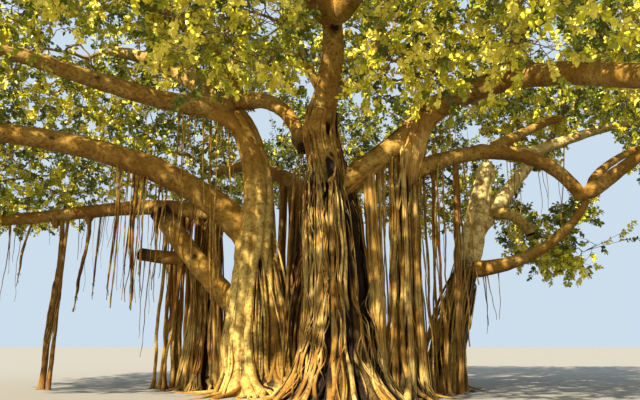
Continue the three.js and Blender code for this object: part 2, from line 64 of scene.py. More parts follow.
SEED = 71
UP = np.array([0.0, 0.0, 1.0])
ASIDE = np.array([1.0, 0.0, 0.0])
LEVEL = np.array([1.0, 1.0, 0.0])  # takes the rise out of a vector

# The viewer, the sun and the floor
EYE = np.array([-0.79, -19.6, 1.6])
EYE_CLIMB = 13.122
LENS = 35.0
SENSOR_WIDTH = 36.0
SUN_CLIMB = 36.0
SUN_TURN = -32.0
SUN_STRENGTH = 10.0
SUN_COLOUR = (1.0, 0.93, 0.74)
SKY_STRENGTH = 0.84
SKY_COLOUR = (0.72, 0.86, 1.0, 1)
FLOOR_WIDTH = 1200.0
FLOOR_COLOUR = (0.29, 0.265, 0.23, 1)

# Trunks and limbs
FLARE_HEIGHT = 0.62  # height over which a foot's flare fades
TWIST_SHARE = 0.6  # share of the turn in the table that a trunk's lobes make
COLLAR = 0.3  # how much thicker a limb is at its start
COLLAR_LENGTH = 0.9  # length over which that fades
TRUNK_RINGS, TRUNK_SIDES = 104, 140
TRUNK_START = (-0.45, -0.45, -0.4, -0.2)  # heights of the rings under the ground
START_RINGS = np.array([[0.02], [0.6]])  # shares of the radius at the first rings of a trunk or pillar
LIMB_SIDES = 32
ROOT_BED = 0.13  # how far a trunk's core lies behind the roots that cover it
BELOW_GROUND = -0.35  # height at which clinging roots start if they come from the ground
PARTING_DEPTH = 0.3  # roots part at clefts that are deeper
# A hollow's loss of shade tone is painted shade in the hollow.
KNOT_DARKNESS = 7.5  # tone that a hollow in a limb takes away for each metre of its depth
LONG_SAMPLES, SHORT_SAMPLES = 38, 24  # along roots that end above and below the middle of a trunk

# Last rings of a limb that is cut or grown: shares of its radius there, and how far out they lie if that
# is the end radius.
END_RADIUS = 0.3
CUT_END = (0.93, 0.6, 0.03), (0.01, -0.1, -0.16)
GROWN_END = (0.75, 0.4, 0.02), (0.05, 0.1, 0.12)

# Slow lumps of a trunk: waves in a metre of its length and in a turn round it, and the part of a wave at
# which they start. Lumps of a limb: height as a share of its radius, length of a wave, and waves in a turn.
TRUNK_LUMPS = [(0.31, 1, 0.1), (0.52, -2, 0.4), (0.83, 3, 0.7), (1.4, 5, 0.2), (2.2, -7, 0.9)]
LIMB_LUMPS = [(0.035, 2.2, 1), (0.03, 1.4, 2), (0.022, 0.8, 3), (0.014, 0.45, 4), (0.01, 0.3, 6)]

# Trunks: name, start, length, headings, climbs, radii from the ground up, flare of the foot, and the
# lobes, which are their number, depth, turn in degrees and toe.
TRUNKS = [
    ("main_trunk", (-0.2, 0.0), 8.35, (180, 180, 190), (90, 87, 82), (1.18, 0.96, 0.9, 0.64), 0.42,
     (10, 0.26, 22, 0.42)),
    ("left_trunk", (-3.09, 2.01), 10.25, (171, 161, 201), (76, 95, 51), (0.56, 0.44, 0.52, 0.4), 0.3,
     (7, 0.17, 14, 0.56)),
    ("right_trunk", (1.85, 0.51), 9.5, (183, 5, 19), (89, 86, 69), (0.43, 0.31, 0.35, 0.4), 0.26,
     (6, 0.13, 20, 0.36)),
    ("left_root_column", (-5.15, 4.4), 7.3, (20, 0, -60), (90, 88, 84), (0.42, 0.33, 0.36, 0.38), 0.26,
     (5, 0.14, 14, 0.42)),
    ("rear_right_trunk", (3.62, 4.2), 9.6, (12, 29, 30), (73, 72, 71), (0.6, 0.54, 0.44, 0.33), 0.32,
     (6, 0.15, 16, 0.42)),
    ("rear_trunk", (-0.5, 3.2), 8.2, (90, 80, 70), (88, 86, 80), (1.05, 0.76, 0.7, 0.56), 0.42,
     (7, 0.22, 18, 0.48)),
]

# Separate root stems fused to a trunk at their ends: trunk, foot, top, radius and paleness. The paleness also
# scales a pillar's shade tone, so the rear trunk's pillars, at 0, are painted dark as shade behind the main
# trunk.
PILLARS = [
    ("main_trunk", (1.01, -0.16), (0.8, 0.2, 7.4), 0.2, 0.6),
    ("main_trunk", (-1.33, 0.56), (-0.8, 0.2, 3.9), 0.24, 0.4),
    ("left_trunk", (-2.24, 2.0), (-2.75, 2.2, 6.6), 0.33, 0.4),
    ("left_trunk", (-1.8, 1.8), (-2.45, 2.15, 4.7), 0.14, 0.3),
    ("left_root_column", (-4.45, 4.0), (-4.75, 2.6, 7.0), 0.17, 0.3),
    ("left_root_column", (-5.9, 4.1), (-5.15, 4.25, 6.3), 0.13, 0.5),
    ("left_root_column", (-5.55, 3.85), (-5.5, 4.1, 6.7), 0.1, 0.2),
    ("rear_trunk", (-1.8, 2.5), (-1.3, 3.1, 6.4), 0.27, 0.0),
    ("rear_trunk", (-1.45, 2.1), (-1.0, 2.8, 6.6), 0.15, 0.0),
    ("right_trunk", (1.28, 0.05), (1.2, 0.42, 7.9), 0.055, 0.9),
    ("right_trunk", (1.52, 0.12), (1.6, 0.5, 8.4), 0.1, 0.6),
    ("right_trunk", (2.42, 0.25), (2.4, 0.62, 9.0), 0.11, 0.5),
    ("right_trunk", (2.0, -0.1), (1.95, 0.3, 8.6), 0.075, 0.9),
]

# Lone thin roots: limb, top, middle, foot and radius.
LONE_ROOTS = [
    ("left_arch_limb", (-1.67, 1.3, 7.6), (-1.9, 1.05, 3.0), (-2.05, 1.0, -0.2), 0.045),
    ("left_upper_bough", (-4.75, 1.65, 9.9), (-4.62, 1.6, 6.2), (-4.5, 1.6, 3.1), 0.03),
    ("left_upper_bough", (-5.0, 1.5, 9.8), (-4.9, 1.42, 7.9), (-4.8, 1.4, 6.3), 0.022),
    ("left_upper_bough", (-4.2, 1.7, 9.9), (-4.0, 1.6, 8.0), (-3.9, 1.6, 6.4), 0.025),
    ("left_lower_bough", (-7.35, 1.3, 8.1), (-7.3, 1.3, 6.2), (-7.28, 1.3, 4.6), 0.02),
    ("left_lower_bough", (-6.8, 1.35, 8.0), (-6.85, 1.3, 5.8), (-6.9, 1.3, 3.9), 0.022),
    ("left_lower_bough", (-7.75, 1.3, 8.2), (-7.7, 1.3, 6.0), (-7.75, 1.35, 2.8), 0.026),
    ("right_lower_bough", (3.35, 1.2, 8.0), (3.2, 1.1, 6.8), (3.1, 1.05, 5.2), 0.02),
    ("right_lower_bough", (7.75, 1.2, 8.3), (7.55, 1.1, 6.9), (7.34, 1.0, 5.6), 0.018),
]

# Deep clefts in a trunk, which the shade tone paints dark as shade: turn, its width, lowest and highest
# height, and depth, which is below 0 where the trunk stands out.
CLEFTS = {
    "main_trunk": [(0.905, 0.05, 2.6, 7.4, 0.5), (0.715, 0.022, 6.3, 7.5, 0.4),
                   (0.785, 0.014, 1.3, 3.1, 0.3), (0.865, 0.016, 0.6, 3.0, 0.3),
                   (0.835, 0.011, 3.2, 6.0, 0.13), (0.745, 0.011, 2.6, 5.4, 0.12)],
    "left_trunk": [(0.5, 0.13, 1.2, 6.4, -0.2), (0.88, 0.045, 0.2, 4.6, 0.36), (0.74, 0.014, 0.2, 2.6, 0.14),
                   (0.67, 0.012, 0.2, 1.7, 0.12)],
    "right_trunk": [(0.7, 0.04, 3.0, 7.0, 0.12)],
}

# Mouths of hollows in a trunk, painted dark as the hollows' shade: turn, height, and half the width in turns
# and half the height.
MOUTHS = [("main_trunk", 0.752, 7.05, 0.038, 0.42)]

# Rings of a mouth: share of its size, how far they stand out, and shade tone, which is near 0 inside as
# painted shade.
MOUTH_RINGS = [(1.2, -0.12, 0.5), (1.05, 0.09, 0.7), (0.92, 0.13, 0.5), (0.75, 0.06, 0.05), (0.5, 0.03, 0.0),
               (0.2, 0.02, 0.0)]

# Layers of roots that cling to a trunk: number, thinnest and thickest radius, lowest and highest share at
# which they end, how far they wander round it in turns, and how far they stand out.
CLINGING = {
    "main_trunk": [(36, 0.05, 0.1, 0.72, 0.93, 0.012, -0.07), (40, 0.03, 0.06, 0.6, 0.94, 0.015, 0.02),
                   (60, 0.014, 0.03, 0.5, 0.97, 0.02, 0.05), (46, 0.022, 0.05, 0.08, 0.4, 0.02, 0.06)],
    "left_trunk": [(15, 0.09, 0.17, 0.12, 0.42, 0.004, -0.07), (14, 0.016, 0.035, 0.2, 0.42, 0.01, 0.0)],
    "right_trunk": [(14, 0.04, 0.085, 0.6, 1.0, 0.015, -0.02), (26, 0.014, 0.035, 0.5, 1.0, 0.03, 0.03)],
    "left_root_column": [(16, 0.045, 0.1, 0.55, 1.0, 0.015, -0.04), (30, 0.014, 0.035, 0.5, 1.0, 0.03, 0.03)],
    "rear_right_trunk": [(14, 0.05, 0.11, 0.25, 0.55, 0.01, -0.05), (22, 0.016, 0.04, 0.3, 0.7, 0.02, 0.0)],
    "rear_trunk": [(24, 0.06, 0.12, 0.5, 1.0, 0.012, -0.05), (30, 0.02, 0.045, 0.5, 1.0, 0.02, 0.02)],
}

# Height above which a trunk's own bark shows between the roots. The other trunks are covered to the top.
BARE_ABOVE = {"main_trunk": 7.3, "left_trunk": -5.0, "right_trunk": 6.4, "rear_right_trunk": 4.2}
COVERED = 99.0

# Share of its length above which a trunk's top closes.
CLOSED_ABOVE = {"main_trunk": 0.84}
CLOSED_ABOVE_ELSE = 0.96

# How pale the bark of a limb is, and that of a trunk between its roots: 0 is brown, 1 is pale and 2 is
# chalky.
PLAIN = 0.5
# The low paleness of rear_trunk, left_rear_bough and rear_left_bough, and of the roots that hang from them,
# is painted shade.
PALENESS = {"left_trunk": 1.15, "rear_right_trunk": 2.0, "right_trunk": 0.65, "rear_right_branch": 2.0,
            "right_pale_branch": 1.6, "rear_short_branch": 1.0, "left_high_bough": 1.0,
            "left_upper_bough": 0.7, "left_root_column": 0.15, "rear_trunk": 0.1, "left_level_stub": 0.0,
            "left_cut_stub": 0.4,
            "left_rear_bough": 0.12, "right_lower_bough": 0.3, "right_elbow_bough": 0.25,
            "right_elbow_fork": 0.25, "rear_left_bough": 0.1, "right_shoulder_bough": 0.7}

# Heights between which the paleness of a trunk changes, and what it changes to. The left trunk turns browner
# upward as painted shade under the crown.
PALENESS_ABOVE = {"left_trunk": [(4.0, 8.5, 0.55)]}

# How much paler the roots of a trunk are than those of the others. The rear trunk's browner roots are painted
# shade behind the main trunk.
ROOT_TINT = {"left_trunk": 0.4, "left_root_column": -0.25, "rear_trunk": -0.3, "right_trunk": 0.25,
             "rear_right_trunk": 0.2}

# Trunks with another kind of bark than trunk bark. Those with bough bark are smooth, and the roots on their
# pillars end low, in the first range of shares. On other pillars they end in the second.
# The rear trunk takes the darker root bark as painted shade, since it stands in the shade behind the main
# trunk.
TRUNK_PAINTS = {"left_trunk": "bough bark", "rear_right_trunk": "bough bark", "rear_trunk": "root bark"}
LOW_ENDS, HIGH_ENDS = (0.12, 0.45), (0.6, 1.0)

# Limbs: name, start or the limb at whose end it starts, length, headings, climbs and radii.
LIMBS = [
    ("central_limb", (-0.98, -0.18, 8.0), 4.0, (-24, -60, -107), (76, 67, 63), (0.47, 0.32)),
    ("central_left_arm", "central_limb", 7.2, (-123, -118, -112), (22, 20, -6), (0.35, 0.19)),
    ("central_right_arm", "central_limb", 7.2, (-46, -56, -60), (30, 20, -8), (0.35, 0.19)),
    ("central_right_branch", (-0.33, -0.33, 9.6), 5.6, (42, 50, 67), (37, 57, 74), (0.24, 0.15)),
    ("central_left_branch", (-0.78, -0.48, 9.6), 2.3, (-148, -151, -156), (68, 58, 48), (0.13, 0.09)),
    ("left_upper_bough", (-3.9, 1.8, 10.0), 10.4, (-159, -161, -150), (-8, 13, -4), (0.37, 0.21)),
    ("left_high_bough", (-3.8, 2.2, 10.05), 7.2, (150, 156, 165), (34, 34, 14), (0.4, 0.23)),
    ("left_top_bough", (-3.75, 1.65, 10.0), 7.0, (-141, -143, -138), (88, 19, 2), (0.24, 0.15)),
    ("crown_left_bough", (-3.85, 1.95, 10.1), 3.7, (110, 105, 100), (74, 66, 58), (0.26, 0.17)),
    ("left_arch_limb", (-3.8, 1.8, 10.15), 4.15, (-31, -34, -36), (12, -40, -76), (0.27, 0.22)),
    ("left_lower_bough", (-3.3, 2.2, 5.3), 12.2, (181, 198, 178), (52, 11, 8), (0.5, 0.27)),
    ("left_cut_stub", (-3.3, 2.55, 2.6), 5.2, (172, 172, 174), (38, 49, 53), (0.36, 0.38)),
    ("left_rear_bough", (-5.0, 4.15, 6.5), 9.3, (160, 177, 190), (20, -5, -3), (0.33, 0.21)),
    ("left_level_stub", (-5.0, 4.3, 4.75), 2.85, (176, 175, 175), (7, 5, 11), (0.26, 0.24)),
    ("right_shoulder_bough", (0.1, 0.1, 6.9), 3.7, (10, 14, 20), (30, 42, 48), (0.33, 0.3)),
    ("right_upper_bough", (2.6, 0.88, 9.15), 10.4, (-14, -63, -76), (39, -20, -14), (0.4, 0.3)),
    ("right_upper_branch", (5.0, -1.3, 9.9), 1.5, (-60, -62, -64), (60, 50, 30), (0.15, 0.11)),
    ("right_lower_bough", (2.2, 1.15, 7.4), 7.3, (15, 10, -18), (22, 2, -70), (0.29, 0.23)),
    ("right_elbow_bough", "right_lower_bough", 5.0, (-10, -29, -34), (29, 34, 16), (0.24, 0.16)),
    ("right_elbow_fork", (8.85, 2.0, 7.15), 4.6, (32, 21, 16), (47, 27, 20), (0.15, 0.11)),
    ("rear_low_bough", (4.9, 4.56, 4.46), 5.38, (-12.9, -34.8, -60.6), (-0.7, 23.9, 52.3), (0.29, 0.12)),
    ("right_pale_branch", (5.9, 2.08, 8.3), 7.4, (34, 19, 18), (10, 22, 4), (0.23, 0.15)),
    ("right_olive_branch", (5.35, 1.8, 8.5), 4.9, (35, 36, 33), (24, 27, 19), (0.2, 0.14)),
    ("rear_right_branch", (5.35, 4.95, 6.05), 6.6, (29, 33, 27), (38, 44, 40), (0.36, 0.22)),
    ("rear_short_branch", (6.0, 5.15, 6.65), 2.1, (-31, -28, -38), (28, -30, -70), (0.22, 0.19)),
    ("rear_left_bough", (-0.8, 3.7, 6.8), 8.6, (136, 130, 124), (44, 20, 2), (0.34, 0.19)),
    ("rear_bough", (-0.3, 3.8, 7.3), 8.2, (88, 92, 96), (50, 22, 0), (0.34, 0.19)),
    ("rear_right_bough", (0.0, 3.7, 7.0), 8.8, (40, 56, 64), (52, 18, -2), (0.32, 0.18)),
]

# Limbs that end in a rotten cut, and how much darker the bark grows over the last metre before it. The hollow
# end itself is painted near black as shade.
CUT_ENDS = {"left_cut_stub": 0.92, "left_level_stub": 0.8, "left_arch_limb": 0.55, "rear_short_branch": 0.3}

# Smooth swellings from inside a trunk onto a limb: limb, its share, trunk, its share, radius there,
# number of roots that run up over it, and how far up the limb they go.
SWELLINGS = [
    ("central_limb", 0.3, "main_trunk", 0.8, 0.6, 40, 0.3),
    ("right_shoulder_bough", 0.3, "main_trunk", 0.7, 0.42, 18, 0.95),
    ("left_upper_bough", 0.12, "left_trunk", 0.86, 0.3, 0, 0.3),
    ("left_lower_bough", 0.1, "left_trunk", 0.36, 0.26, 0, 0.3),
    ("right_upper_bough", 0.1, "right_trunk", 0.84, 0.26, 14, 0.2),
    ("right_lower_bough", 0.1, "right_trunk", 0.66, 0.2, 10, 0.35),
    ("rear_right_branch", 0.14, "rear_right_trunk", 0.5, 0.3, 0, 0.3),
    ("left_cut_stub", 0.14, "left_trunk", 0.12, 0.28, 0, 0.3),
]

# Hollows and burrs on a limb: limb, share, direction from its centre, width, and depth, which is below 0
# where it stands out.
KNOTS = [
    ("right_upper_bough", 0.27, (0.1, -0.95, 0.3), 0.15, 0.16),
    ("right_upper_bough", 0.52, (-0.6, -0.6, -0.4), 0.2, -0.07),
    ("left_upper_bough", 0.46, (0.2, -0.9, 0.2), 0.12, 0.09),
    ("left_upper_bough", 0.86, (0.0, -0.6, 0.8), 0.3, -0.09),
    ("left_lower_bough", 0.34, (0.0, -0.8, 0.6), 0.3, -0.1),
    ("left_lower_bough", 0.62, (0.0, -0.9, 0.1), 0.12, 0.08),
    ("left_cut_stub", 0.55, (0.2, -0.9, 0.3), 0.13, 0.08),
    ("left_arch_limb", 0.97, (-0.3, -0.9, -0.1), 0.14, 0.14),
    ("left_arch_limb", 0.9, (-0.9, -0.3, 0.0), 0.24, -0.12),
    ("left_arch_limb", 0.95, (0.9, -0.3, 0.0), 0.2, -0.06),
    ("central_limb", 0.1, (0.8, -0.75, 0.0), 0.2, 0.15),
    ("central_limb", 0.97, (0.3, -0.85, -0.4), 0.16, 0.13),
    ("right_lower_bough", 0.42, (0.1, -0.7, 0.7), 0.2, -0.06),
    ("rear_right_branch", 0.12, (-0.3, -0.9, 0.1), 0.16, 0.12),
]

# Groups of root stems under a limb: node, limb, share, collar, and each stem's foot and radius.
ROOTS = [
    ("hanging_roots_left", "left_lower_bough", 0.385, 0.26,
     [((-7.42, 1.35, 3.06), 0.045), ((-6.84, 1.4, 3.13), 0.045), ((-7.15, 1.5, 2.73), 0.11),
      ((-7.95, 1.5, 3.07), 0.06)]),
    ("hanging_roots_far_left", "left_rear_bough", 0.57, 0.24,
     [((-10.14, 4.3, 2.82), 0.1), ((-9.5, 4.4, 3.3), 0.06)]),
    ("prop_roots_far_left", "left_rear_bough", 0.71, 0.24,
     [((-11.12, 4.4, -0.4), 0.12), ((-10.8, 4.3, -0.4), 0.08), ((-12.45, 4.35, 3.8), 0.06)]),
    ("prop_root_left", "left_level_stub", 0.7, 0.12, [((-6.13, 4.35, -0.4), 0.1)]),
    ("prop_root_right", "right_lower_bough", 0.25, 0.11, [((3.89, 2.1, -0.4), 0.12)]),
]

# Thin roots that hang from a limb: limb, first and last share, number, lowest and highest foot, and
# largest radius.
CURTAINS = [
    ("left_lower_bough", 0.30, 0.46, 20, 2.6, 5.2, 0.028),
    ("left_lower_bough", 0.1, 0.28, 12, 2.6, 6.0, 0.026),
    ("left_upper_bough", 0.03, 0.2, 13, 3.0, 8.4, 0.022),
    ("left_rear_bough", 0.42, 0.95, 13, 3.2, 5.8, 0.02),
    ("left_rear_bough", 0.03, 0.2, 20, -0.3, -0.2, 0.06),
    ("left_rear_bough", 0.2, 0.4, 6, 2.0, 5.0, 0.03),
    ("left_level_stub", 0.05, 0.48, 14, -0.3, -0.2, 0.05),
    ("left_level_stub", 0.35, 0.95, 5, 0.6, 3.4, 0.02),
    ("left_arch_limb", 0.7, 0.95, 4, 4.6, 6.5, 0.02),
    ("right_lower_bough", 0.05, 0.34, 9, 0.0, 5.0, 0.025),
    ("right_lower_bough", 0.02, 0.2, 6, -0.3, -0.2, 0.045),
    ("right_pale_branch", 0.05, 0.4, 4, 5.4, 6.8, 0.016),
    ("right_upper_bough", 0.04, 0.14, 4, 6.0, 8.2, 0.025),
    ("right_shoulder_bough", 0.3, 0.9, 16, -0.3, -0.2, 0.045),
    ("right_shoulder_bough", 0.3, 0.9, 14, 2.0, 6.0, 0.03),
    ("rear_low_bough", 0.06, 0.4, 4, 1.5, 3.2, 0.02),
    ("rear_left_bough", 0.08, 0.33, 26, -0.3, -0.2, 0.085),
    ("right_olive_branch", 0.05, 0.5, 4, 4.5, 6.5, 0.016),
]

# Roots that run out over the ground: trunk, number, shortest and longest reach, first and last turn.
RUNNERS = [
    ("main_trunk", 18, 0.9, 1.9, 0.0, 1.0),
    ("left_trunk", 12, 0.9, 2.6, 0.4, 0.95),
    ("left_trunk", 5, 0.6, 1.2, 0.0, 0.4),
    ("left_root_column", 10, 0.6, 1.5, 0.0, 1.0),
    ("right_trunk", 9, 0.6, 1.5, 0.0, 1.0),
    ("rear_right_trunk", 10, 0.7, 1.7, 0.0, 1.0),
    ("rear_trunk", 12, 0.8, 1.8, 0.0, 0.6),
]

# Thin standing roots round a trunk: trunk, range of x, range of y, lowest and highest top, number.
STANDS = [
    ("left_root_column", (-5.4, -3.9), (3.6, 4.9), 4.2, 7.0, 14),
    ("rear_right_trunk", (2.6, 4.5), (3.2, 4.7), 2.6, 4.6, 60),
    ("right_trunk", (1.2, 2.4), (0.0, 1.2), 4.5, 8.0, 10),
    ("left_trunk", (-2.7, -1.5), (1.3, 2.4), 3.5, 6.2, 5),
    ("left_trunk", (-2.95, -2.45), (1.5, 1.75), 2.4, 4.6, 9),
    ("rear_trunk", (-2.0, 1.0), (1.8, 3.0), 4.0, 7.0, 14),
    ("rear_trunk", (-2.1, -1.1), (1.5, 2.9), 4.5, 7.4, 30),
]

# Parts of the crown. The twigs of each are joined into one piece, and so are its leaves.
CROWN_PARTS = ("front", "left", "left_rear", "top", "right", "rear")

# Masses of leaves: name, part of the crown, the limb that bears it, centre and half size. Where a mass
# grows from the side of its limb and not from the tip, the share and heading of that shoot follow.
MASSES = [
    ("foliage_front_left", "front", "central_left_arm", (-5.0, -9.0, 12.0), (4.8, 4.5, 2.8)),
    ("foliage_front_right", "front", "central_right_arm", (4.2, -8.9, 12.1), (4.6, 4.5, 2.8)),
    ("foliage_top_right", "top", "central_right_branch", (2.3, 1.8, 15.6), (4.9, 4.9, 2.8)),
    ("foliage_inner_left", "front", "central_left_branch", (-3.6, -1.9, 11.3), (3.2, 2.7, 2.8)),
    ("foliage_inner_right", "front", "central_limb", (1.8, -2.3, 10.9), (2.7, 2.3, 2.5), 0.42, -25),
    ("foliage_left_front", "left", "left_upper_bough", (-14.4, -4.6, 11.1), (3.8, 4.6, 3.1)),
    ("foliage_left_high", "left_rear", "left_high_bough", (-11.1, 5.3, 13.4), (4.7, 4.5, 3.0)),
    ("foliage_left_top", "left", "left_top_bough", (-9.3, -4.7, 13.5), (4.6, 4.8, 2.8)),
    ("foliage_crown_left", "top", "crown_left_bough", (-4.7, 3.1, 15.2), (4.8, 4.8, 2.8)),
    ("foliage_left", "left", "left_lower_bough", (-15.4, 1.4, 9.0), (3.3, 3.5, 2.7)),
    ("foliage_left_rear", "left_rear", "left_rear_bough", (-14.3, 7.5, 9.0), (3.9, 4.1, 2.6)),
    ("foliage_right_front", "right", "right_upper_bough", (9.5, -8.8, 10.1), (4.4, 4.7, 2.9)),
    ("foliage_inner_front", "right", "right_upper_branch", (5.8, -3.1, 11.3), (3.5, 2.7, 2.2)),
    ("foliage_right", "right", "right_elbow_bough", (13.7, -2.6, 10.3), (3.9, 4.3, 2.9)),
    ("foliage_right_mid", "right", "right_pale_branch", (14.6, 4.2, 10.4), (3.4, 3.6, 2.8)),
    ("foliage_right_high", "top", "right_olive_branch", (9.2, 4.5, 12.9), (4.7, 4.2, 2.8)),
    ("foliage_rear_right", "rear", "rear_right_branch", (11.1, 10.2, 12.7), (4.5, 4.0, 2.7)),
    ("foliage_rear_low", "rear", "rear_low_bough", (9.6, 6.7, 6.6), (2.9, 2.6, 2.2), 0.5, 52),
    ("foliage_rear_left", "left_rear", "rear_left_bough", (-7.7, 11.1, 11.6), (4.8, 4.3, 2.9)),
    ("foliage_rear", "rear", "rear_bough", (-0.9, 12.8, 11.6), (4.6, 4.0, 2.9)),
    ("foliage_rear_right_low", "rear", "rear_right_bough", (5.2, 12.5, 10.4), (4.3, 3.9, 2.9)),
]

# Limbs that the crown leaves open to the viewer: limb, first and last share, how far a spray keeps from
# the line of sight to it, and the share of sprays that stay there all the same.
SHOWN = [
    ("central_limb", 0.0, 1.0, 0.78, 0.0),
    ("central_left_arm", 0.0, 0.25, 0.6, 0.0),
    ("central_right_arm", 0.0, 0.3, 0.6, 0.0),
    ("left_high_bough", 0.1, 0.8, 0.55, 0.12),
    ("left_arch_limb", 0.1, 1.0, 0.5, 0.1),
    ("left_upper_bough", 0.3, 0.95, 0.4, 0.35),
    ("right_upper_bough", 0.3, 0.95, 0.42, 0.3),
]

# Where the viewer sees open sky through the crown: heading and climb of the line of sight, and half the
# width of the gap, in degrees.
SKY_GAPS = [
    (95.0, 19.9, 1.5), (65.7, 15.1, 2.6), (63.5, 11.9, 2.0), (69.6, 13.2, 1.7), (65.7, 8.4, 1.5),
    (72.6, 15.4, 0.9), (75.8, 18.1, 1.1), (108.4, 25.7, 1.0), (112.1, 25.3, 0.8), (114.5, 25.2, 0.9),
    (119.0, 27.0, 0.9), (95.9, 30.1, 1.1), (95.2, 28.2, 0.6), (86.8, 28.5, 0.6), (68.2, 25.5, 1.4),
]

# Sprays and leaves
SPACE_MARGIN = 0.06  # how far a mass's space ends before the wall to a neighbour
SPRAY_SPACING = 0.048  # a mass has one spray for each of these in the square of its mean half size
TRIES_PER_SPRAY = 70  # places drawn for each spray, of which a few are kept to choose from
SHELL = 0.62  # most sprays lie beyond this share of their mass's half size
CORE = 0.25  # and none within this one
SEAM = 1.36  # share of the half size that a mass reaches beside a neighbour
SPRAY_MARGIN = 0.3  # how far a spray's target keeps from the end of its mass's space
GAP_MARGIN = 0.25  # how far a spray's target keeps from the rim of a gap
SPRAY_REACH = 0.4  # how far a spray's leaves reach beyond its target
LIMB_CLEARANCE = 0.55  # nearest that a spray's target comes to the line of a limb
SPRAYS_PER_TWIG = 5
TWIG_REACH = 0.8  # how far a last twig runs towards the middle of its targets
FORK_REACH = 0.6  # and how far a twig runs before it forks
SHOOTS = 3  # on each branchlet
LEAVES = 12  # on each shoot
LEAF_TURN = 2.4  # from one leaf of a shoot to the next, in radians
LEAF_LENGTH = (0.14, 0.23)
LEAF_WIDTH = (0.58, 0.76)  # shares of the length
LEAF_FOLD = (0.04, 0.13)
# The brightness is partly random and partly painted light shining through the leaves.
TINT_STEPS = (0.3, 0.46, 0.58, 0.8)  # brightness at which a shoot's leaves take the next tint
SHOOT_LENGTH = (0.35, 0.65)
THICKEST_TWIG, THINNEST_TWIG, TWIG_TIP = 0.13, 0.016, 0.012  # radii
BRANCHLET_RADII = (0.014, 0.007)
SHOOT_RADII = (0.006, 0.003)

# A leaf's points: shares of its length, its width and its fold. Its two halves are faces of four of them.
LEAF_OUTLINE = [(0.0, 0.0, 0.0), (0.36, -0.5, 1.0), (0.76, -0.33, 0.6), (1.0, 0.0, -0.5), (0.76, 0.33, 0.6),
                (0.36, 0.5, 1.0)]
LEAF_HALVES = [[0, 3, 4, 5], [0, 1, 2, 3]]

# Kinds of bark: the painted shade colour, which stands for shade in crevices, hollows and undersides, colours
# of the body and where it is pale, scale of the grain along each axis, relief in metres, and strength of the
# brown spots, which are partly the bark's own mottle and partly painted dappled shade. Then the shares that
# make a colour browner or chalkier.
BARKS = {
    "trunk bark": ((0.012, 0.004, 0.001, 1), (0.38, 0.19, 0.026, 1), (0.74, 0.54, 0.17, 1),
                   (1, 1, 0.14), 0.05, 0.55),
    "bough bark": ((0.02, 0.008, 0.003, 1), (0.37, 0.195, 0.026, 1), (0.68, 0.48, 0.13, 1),
                   (0.7, 0.9, 0.9), 0.035, 0.6),
    "root bark": ((0.014, 0.005, 0.002, 1), (0.25, 0.11, 0.018, 1), (0.5, 0.32, 0.08, 1),
                  (1, 1, 0.15), 0.015, 0.3),
}
EVEN = (1.0, 1.0, 1.0)
BROWNER = (0.62, 0.5, 0.42)
CHALKIER = (1.35, 1.5, 2.3)
TWIG_COLOUR = (0.2, 0.13, 0.06, 1)
# The tints are brighter than the leaves' own greens, as painted light shining through them.
LEAF_TINTS = {
    "deep leaf": (0.13, 0.165, 0.01, 1),
    "mid leaf": (0.34, 0.36, 0.018, 1),
    "olive leaf": (0.53, 0.45, 0.035, 1),
    "bright leaf": (0.76, 0.7, 0.04, 1),
    "yellow leaf": (0.95, 0.83, 0.12, 1),
}


def smooth(x, low, high):
    """0 below low and 1 above high, and 3 t squared less 2 t cubed between them."""
    t = np.clip((x - low) / (high - low), 0.0, 1.0)
    return t * t * (3.0 - 2.0 * t)


def bell(offset, width):
    """1 in the middle, falling as e to the power of minus the square of offset over width."""
    return np.exp(-(offset / width) ** 2)


def spread(height):
    """How far a foot has spread at a height: 1 at the ground, fading as e to the power of minus the height
    over the flare height."""
    return np.exp(-np.maximum(height, 0) / FLARE_HEIGHT)


def unit(vectors):
    """The vectors at length 1."""
    return vectors / np.maximum(np.linalg.norm(vectors, axis=-1, keepdims=True), 1e-9)


def off_turn(turn, at):
    """How far turns lie from the turn at, between minus a half and a half."""
    return (turn - at + 0.5) % 1.0 - 0.5


def sine(waves):
    """The sine of a number of whole waves."""
    return np.sin(2 * np.pi * waves)


def bends(rng, along, *waves):
    """Sines for rows of places, each wave with its height and the range of its length. Each row has its own
    length within that range and its own start."""
    rows = (len(along), 1)
    total = 0
    for height, low, high in waves:
        total = total + height * sine(along / rng.uniform(low, high, rows) + rng.random(rows))
    return total


def random_stream(seed):
    """Numbers from 0 to 1, the same each time for one seed: a counter mixed by products of 32 bits."""
    mask, spacing, step = 0xFFFFFFFF, 2654435761, 0x6D2B79F5
    state = seed * spacing & mask
    while True:
        state = (state + step) & mask
        word = (state ^ state >> 15) * (state | 1) & mask
        word ^= (word + ((word ^ word >> 7) * (word | 61) & mask)) & mask
        yield (word ^ word >> 14) / (mask + 1)


def rows_of(table, name):
    """What a table's rows for one trunk or limb say after its name."""
    return [row[1:] for row in table if row[0] == name]


def grid(s, sides):
    """The share and the turn of each point of rings at shares s."""
    return np.meshgrid(s, np.arange(sides) / sides, indexing="ij")


def through_three(values, s):
    """The quadratic in the share s that is first, middle and last at 0, a half and 1."""
    first, middle, last = values
    return first * (1 - s) * (1 - 2 * s) + middle * 4 * s * (1 - s) + last * s * (2 * s - 1)


def direction(heading, climb):
    """Unit vectors (cos h cos c, sin h cos c, sin c) of heading h and climb c."""
    h, c = np.radians(heading), np.radians(climb)
    return np.stack([np.cos(h) * np.cos(c), np.sin(h) * np.cos(c), np.sin(c) + 0 * h], -1)


def grown_line(start, length, heading, climb, steps=90):
    """The line of a stem: its start plus the running sum of short steps that turn with the share."""
    s = (np.arange(steps) + 0.5) / steps
    step = direction(through_three(heading, s), through_three(climb, s)) * length / steps
    return np.vstack([start, start + np.cumsum(step, axis=0)])


